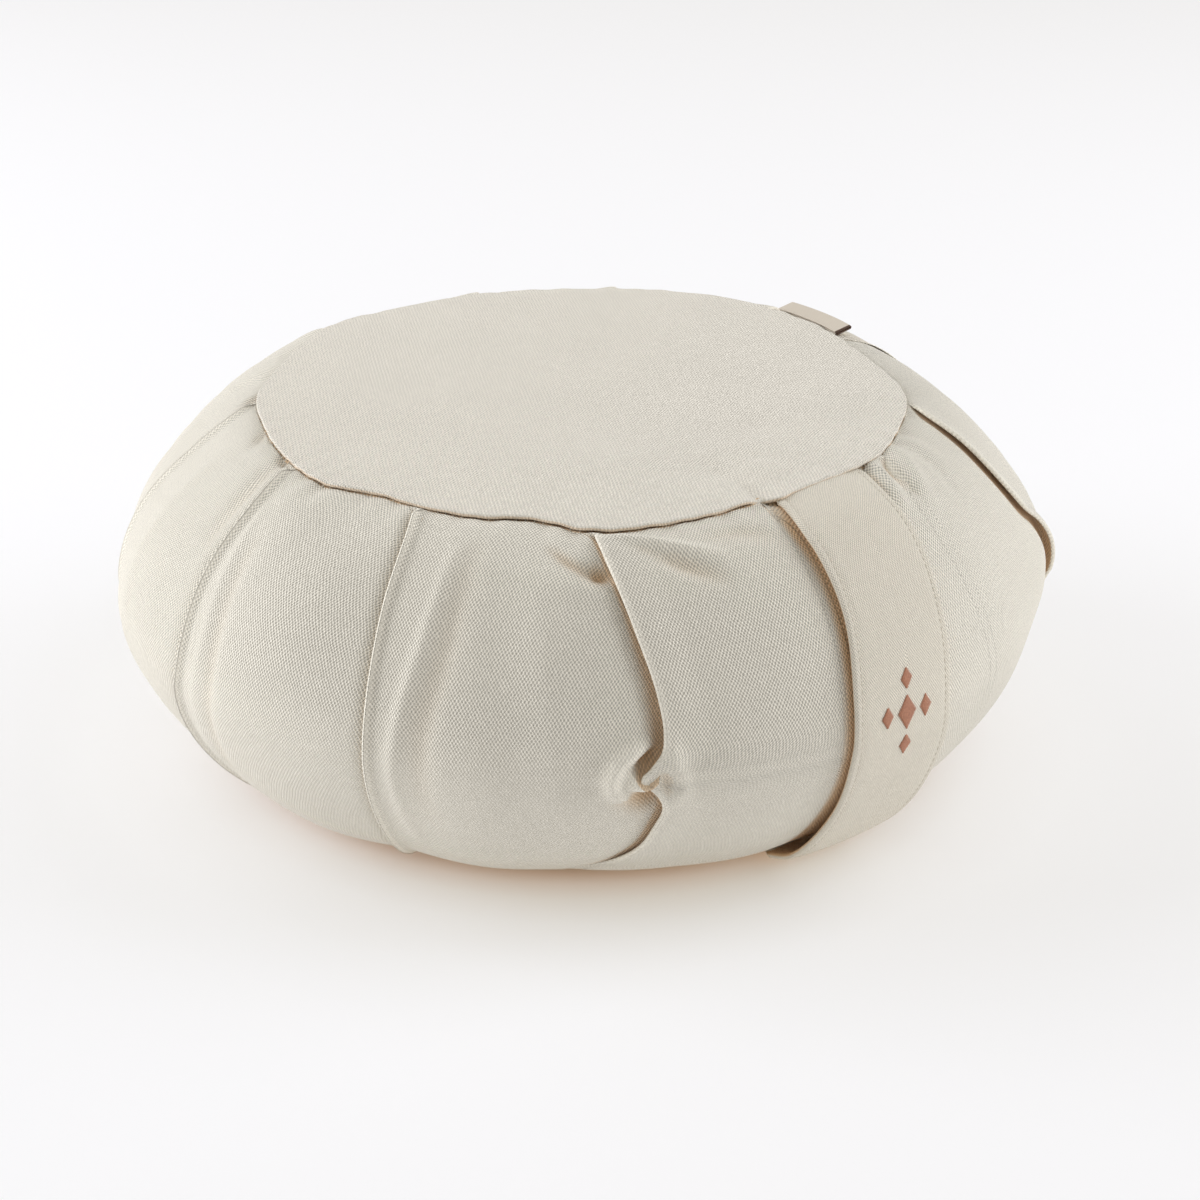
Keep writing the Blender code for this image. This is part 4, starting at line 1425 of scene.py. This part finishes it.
# %% Tape and threads
RIB_DOWN, RIB_ALONG = 0.00032, 0.00045
RIB_HEIGHT = 0.00004
END_FROM, END_TO = 0.0008, 0.0011  # where the dark line at the tape's end stops, in metres
TAPE_DARK, TAPE_LIGHT = (0.56, 0.49, 0.40, 1.0), (0.74, 0.67, 0.57, 1.0)
TAPE_END = (0.10, 0.055, 0.035, 1.0)
TWIST_SCALE, TWIST_HEIGHT = 1400.0, 0.00006


def tape_finish():
    """Woven tape with fine ribs across it, and a dark line at one end."""
    material, shader = new_material("woven tape", 0.6, sheen=0.1)
    _, along, down = cloth_place(material)
    ribs = (down * (pi / RIB_DOWN)).sine() * 0.5 + (along * (pi / RIB_ALONG)).sine() * 0.25
    tone = mix_colour(ribs * 0.4 + 0.5, TAPE_DARK, TAPE_LIGHT)
    end = 1.0 - along.ramp(END_FROM, END_TO)
    mix_colour(end, tone, TAPE_END).feed(shader, "Base Color")
    bumped(ribs, RIB_HEIGHT).feed(shader, "Normal")
    return material


def thread_finish(name, dark, light, rough):
    material, shader = new_material(name, rough, sheen=0.2)
    place = Sock(material.node_tree).node("ShaderNodeTexCoord", output="Object")
    turns = noise(place, TWIST_SCALE)
    mix_colour(turns, (*dark, 1.0), (*light, 1.0)).feed(shader, "Base Color")
    bumped(turns, TWIST_HEIGHT).feed(shader, "Normal")
    return material


tape = tape_finish()
cream_thread = thread_finish("cream thread", (0.58, 0.52, 0.42), (0.76, 0.71, 0.61), 0.7)
copper_thread = thread_finish("copper thread", (0.33, 0.13, 0.075), (0.60, 0.29, 0.17), 0.42)
for piece, material in (
    (side, side_canvas),
    (top, disc_canvas),
    (bottom, side_canvas),
    (strap, strap_canvas),
    (label, tape),
):
    piece.data.materials.append(material)
print("materials:", len(bpy.data.materials))

# %% [markdown]
# On the real disc the grain runs at a slant to the seams, because a circle is cut with no regard
# to it. Turning the disc's UV map turns the threads and leaves the shape alone.

# %% Turn the disc's grain
DISC_GRAIN = radians(117.6)
layer = top.data.uv_layers["weave"].data
flat = np.empty(2 * len(layer), dtype=np.float32)
layer.foreach_get("uv", flat)
x, y = flat.reshape(-1, 2).T
turned = np.stack([
    x * cos(DISC_GRAIN) - y * sin(DISC_GRAIN),
    x * sin(DISC_GRAIN) + y * cos(DISC_GRAIN),
], axis=-1)
layer.foreach_set("uv", turned.reshape(-1).astype(np.float32))
print("the disc's grain is turned by", round(DISC_GRAIN, 3), "radians")

# %% [markdown]
# ### Where the stitches go
# The seam's stitches lie deep in the groove and bridge from the disc to the side, one every three
# and a half millimetres or so. The strap has a running stitch down each edge.

# %% Seam and strap stitches
SEAM_PITCH, SEAM_REACH, SEAM_THREAD = 0.0036, 0.0022, 0.00024
SEAM_MEAN = 0.139  # the seam's mean radius
SEAM_OUT, SEAM_SINK = 0.0002, 0.0004  # how far out and how deep a seam stitch lies
SEAM_LEAN = (0.8, -0.6)  # it runs outwards and down
STITCH_PITCH, STITCH_REACH, THREAD_RADIUS = 0.0030, 0.0023, 0.00026


def seam_stitches():
    made = []
    count = int(2 * pi * SEAM_MEAN / SEAM_PITCH)
    for k in range(count):
        turn = 360.0 * k / count
        out = way_out(turn)
        radius = float(seam_radius(turn)) + SEAM_OUT
        place = out * radius + Vector((0, 0, SEAM_HEIGHT - SEAM_SINK))
        way = out * SEAM_LEAN[0] + Vector((0, 0, SEAM_LEAN[1]))
        made.append((place, way.normalized(), SEAM_REACH))
    return made


strap_fall = np.concatenate([
    [0.0],
    np.cumsum([(b[0] - a[0]).length for a, b in zip(strap_frames, strap_frames[1:])]),
])


def strap_spot(across, fall, over=0.0):
    """A place on the strap's outer face, and the ways across it and down it."""
    spot = float(np.interp(fall, strap_fall, np.arange(len(strap_fall))))
    first = min(int(spot), len(strap_frames) - 2)
    share = spot - first
    one, two = strap_frames[first], strap_frames[first + 1]
    middle, sideways, out = [a.lerp(b, share) for a, b in zip(one, two)]
    arch = STRAP_ARCH * (1.0 - (2.0 * across / STRAP_WIDTH) ** 2)
    place = middle + sideways * across + out * (STRAP_THICKNESS + arch + over)
    return place, sideways, (two[0] - one[0]).normalized()


def strap_stitches():
    made = []
    edge = STRAP_WIDTH / 2 - STITCH_INSET
    for across in (-edge, edge):
        for k in range(1, int(strap_length / STITCH_PITCH)):
            place, _, down_way = strap_spot(across, k * STITCH_PITCH, -STITCH_SINK * 0.6)
            made.append((place, down_way, STITCH_REACH))
    return made


seam_threads = lay_threads("seam_stitches", seam_stitches(), SEAM_THREAD, cream_thread)
strap_threads = lay_threads("strap_stitches", strap_stitches(), THREAD_RADIUS, cream_thread)

# %% [markdown]
# ### A small embroidered figure
# Halfway down the strap is a thumb-sized figure in copper thread: a plain geometric one here, five
# lozenges in a cross. They are filled with satin stitch, threads laid side by side, each as long
# as the lozenge is wide at that height.

# %% Satin stitch in lozenges
FIGURE_FALL = 0.103  # metres down the strap to the middle of the figure
SATIN_PITCH, SATIN_RADIUS = 0.00042, 0.00030
SATIN_OVER, SHORTEST = 0.00012, 0.0007  # height over the strap, and the least length worth a stitch
RAGGED = 0.0002  # how unevenly the threads end
LOZENGES = (  # across, down, half width, half height in metres
    (0.0, 0.0, 0.0052, 0.0068),
    (-0.0098, 0.0, 0.0034, 0.0044),
    (0.0098, 0.0, 0.0034, 0.0044),
    (0.0, -0.0125, 0.0034, 0.0044),
    (0.0, 0.0125, 0.0034, 0.0044),
)


def satin_stitches():
    made = []
    for across, below, half_width, half_height in LOZENGES:
        for level in np.arange(-half_height + SATIN_PITCH, half_height, SATIN_PITCH):
            reach = 2.0 * half_width * (1.0 - abs(level) / half_height)
            reach += rng.uniform(-RAGGED, RAGGED)
            place, sideways, _ = strap_spot(across, FIGURE_FALL + below + level, SATIN_OVER)
            if reach > SHORTEST:
                made.append((place, sideways, reach))
    return made


figure = lay_threads("figure_stitches", satin_stitches(), SATIN_RADIUS, copper_thread)

# %% [markdown]
# ## Hand over to the frame
# Each piece is carried by the root body, and the frame's solids that the pieces stand for are
# hidden.

for piece in (side, top, bottom, strap, label, seam_threads, strap_threads, figure):
    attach(piece, "root")
for piece, node, slot_name in (
    (side, "side_band", "canvas"),
    (top, "top_panel", "canvas"),
    (bottom, "bottom_panel", "canvas"),
    (strap, "carry_strap", "strap_canvas"),
    (label, "label_tab", "woven_tape"),
):
    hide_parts(node)

bpy.context.scene.view_settings.view_transform = "Standard"
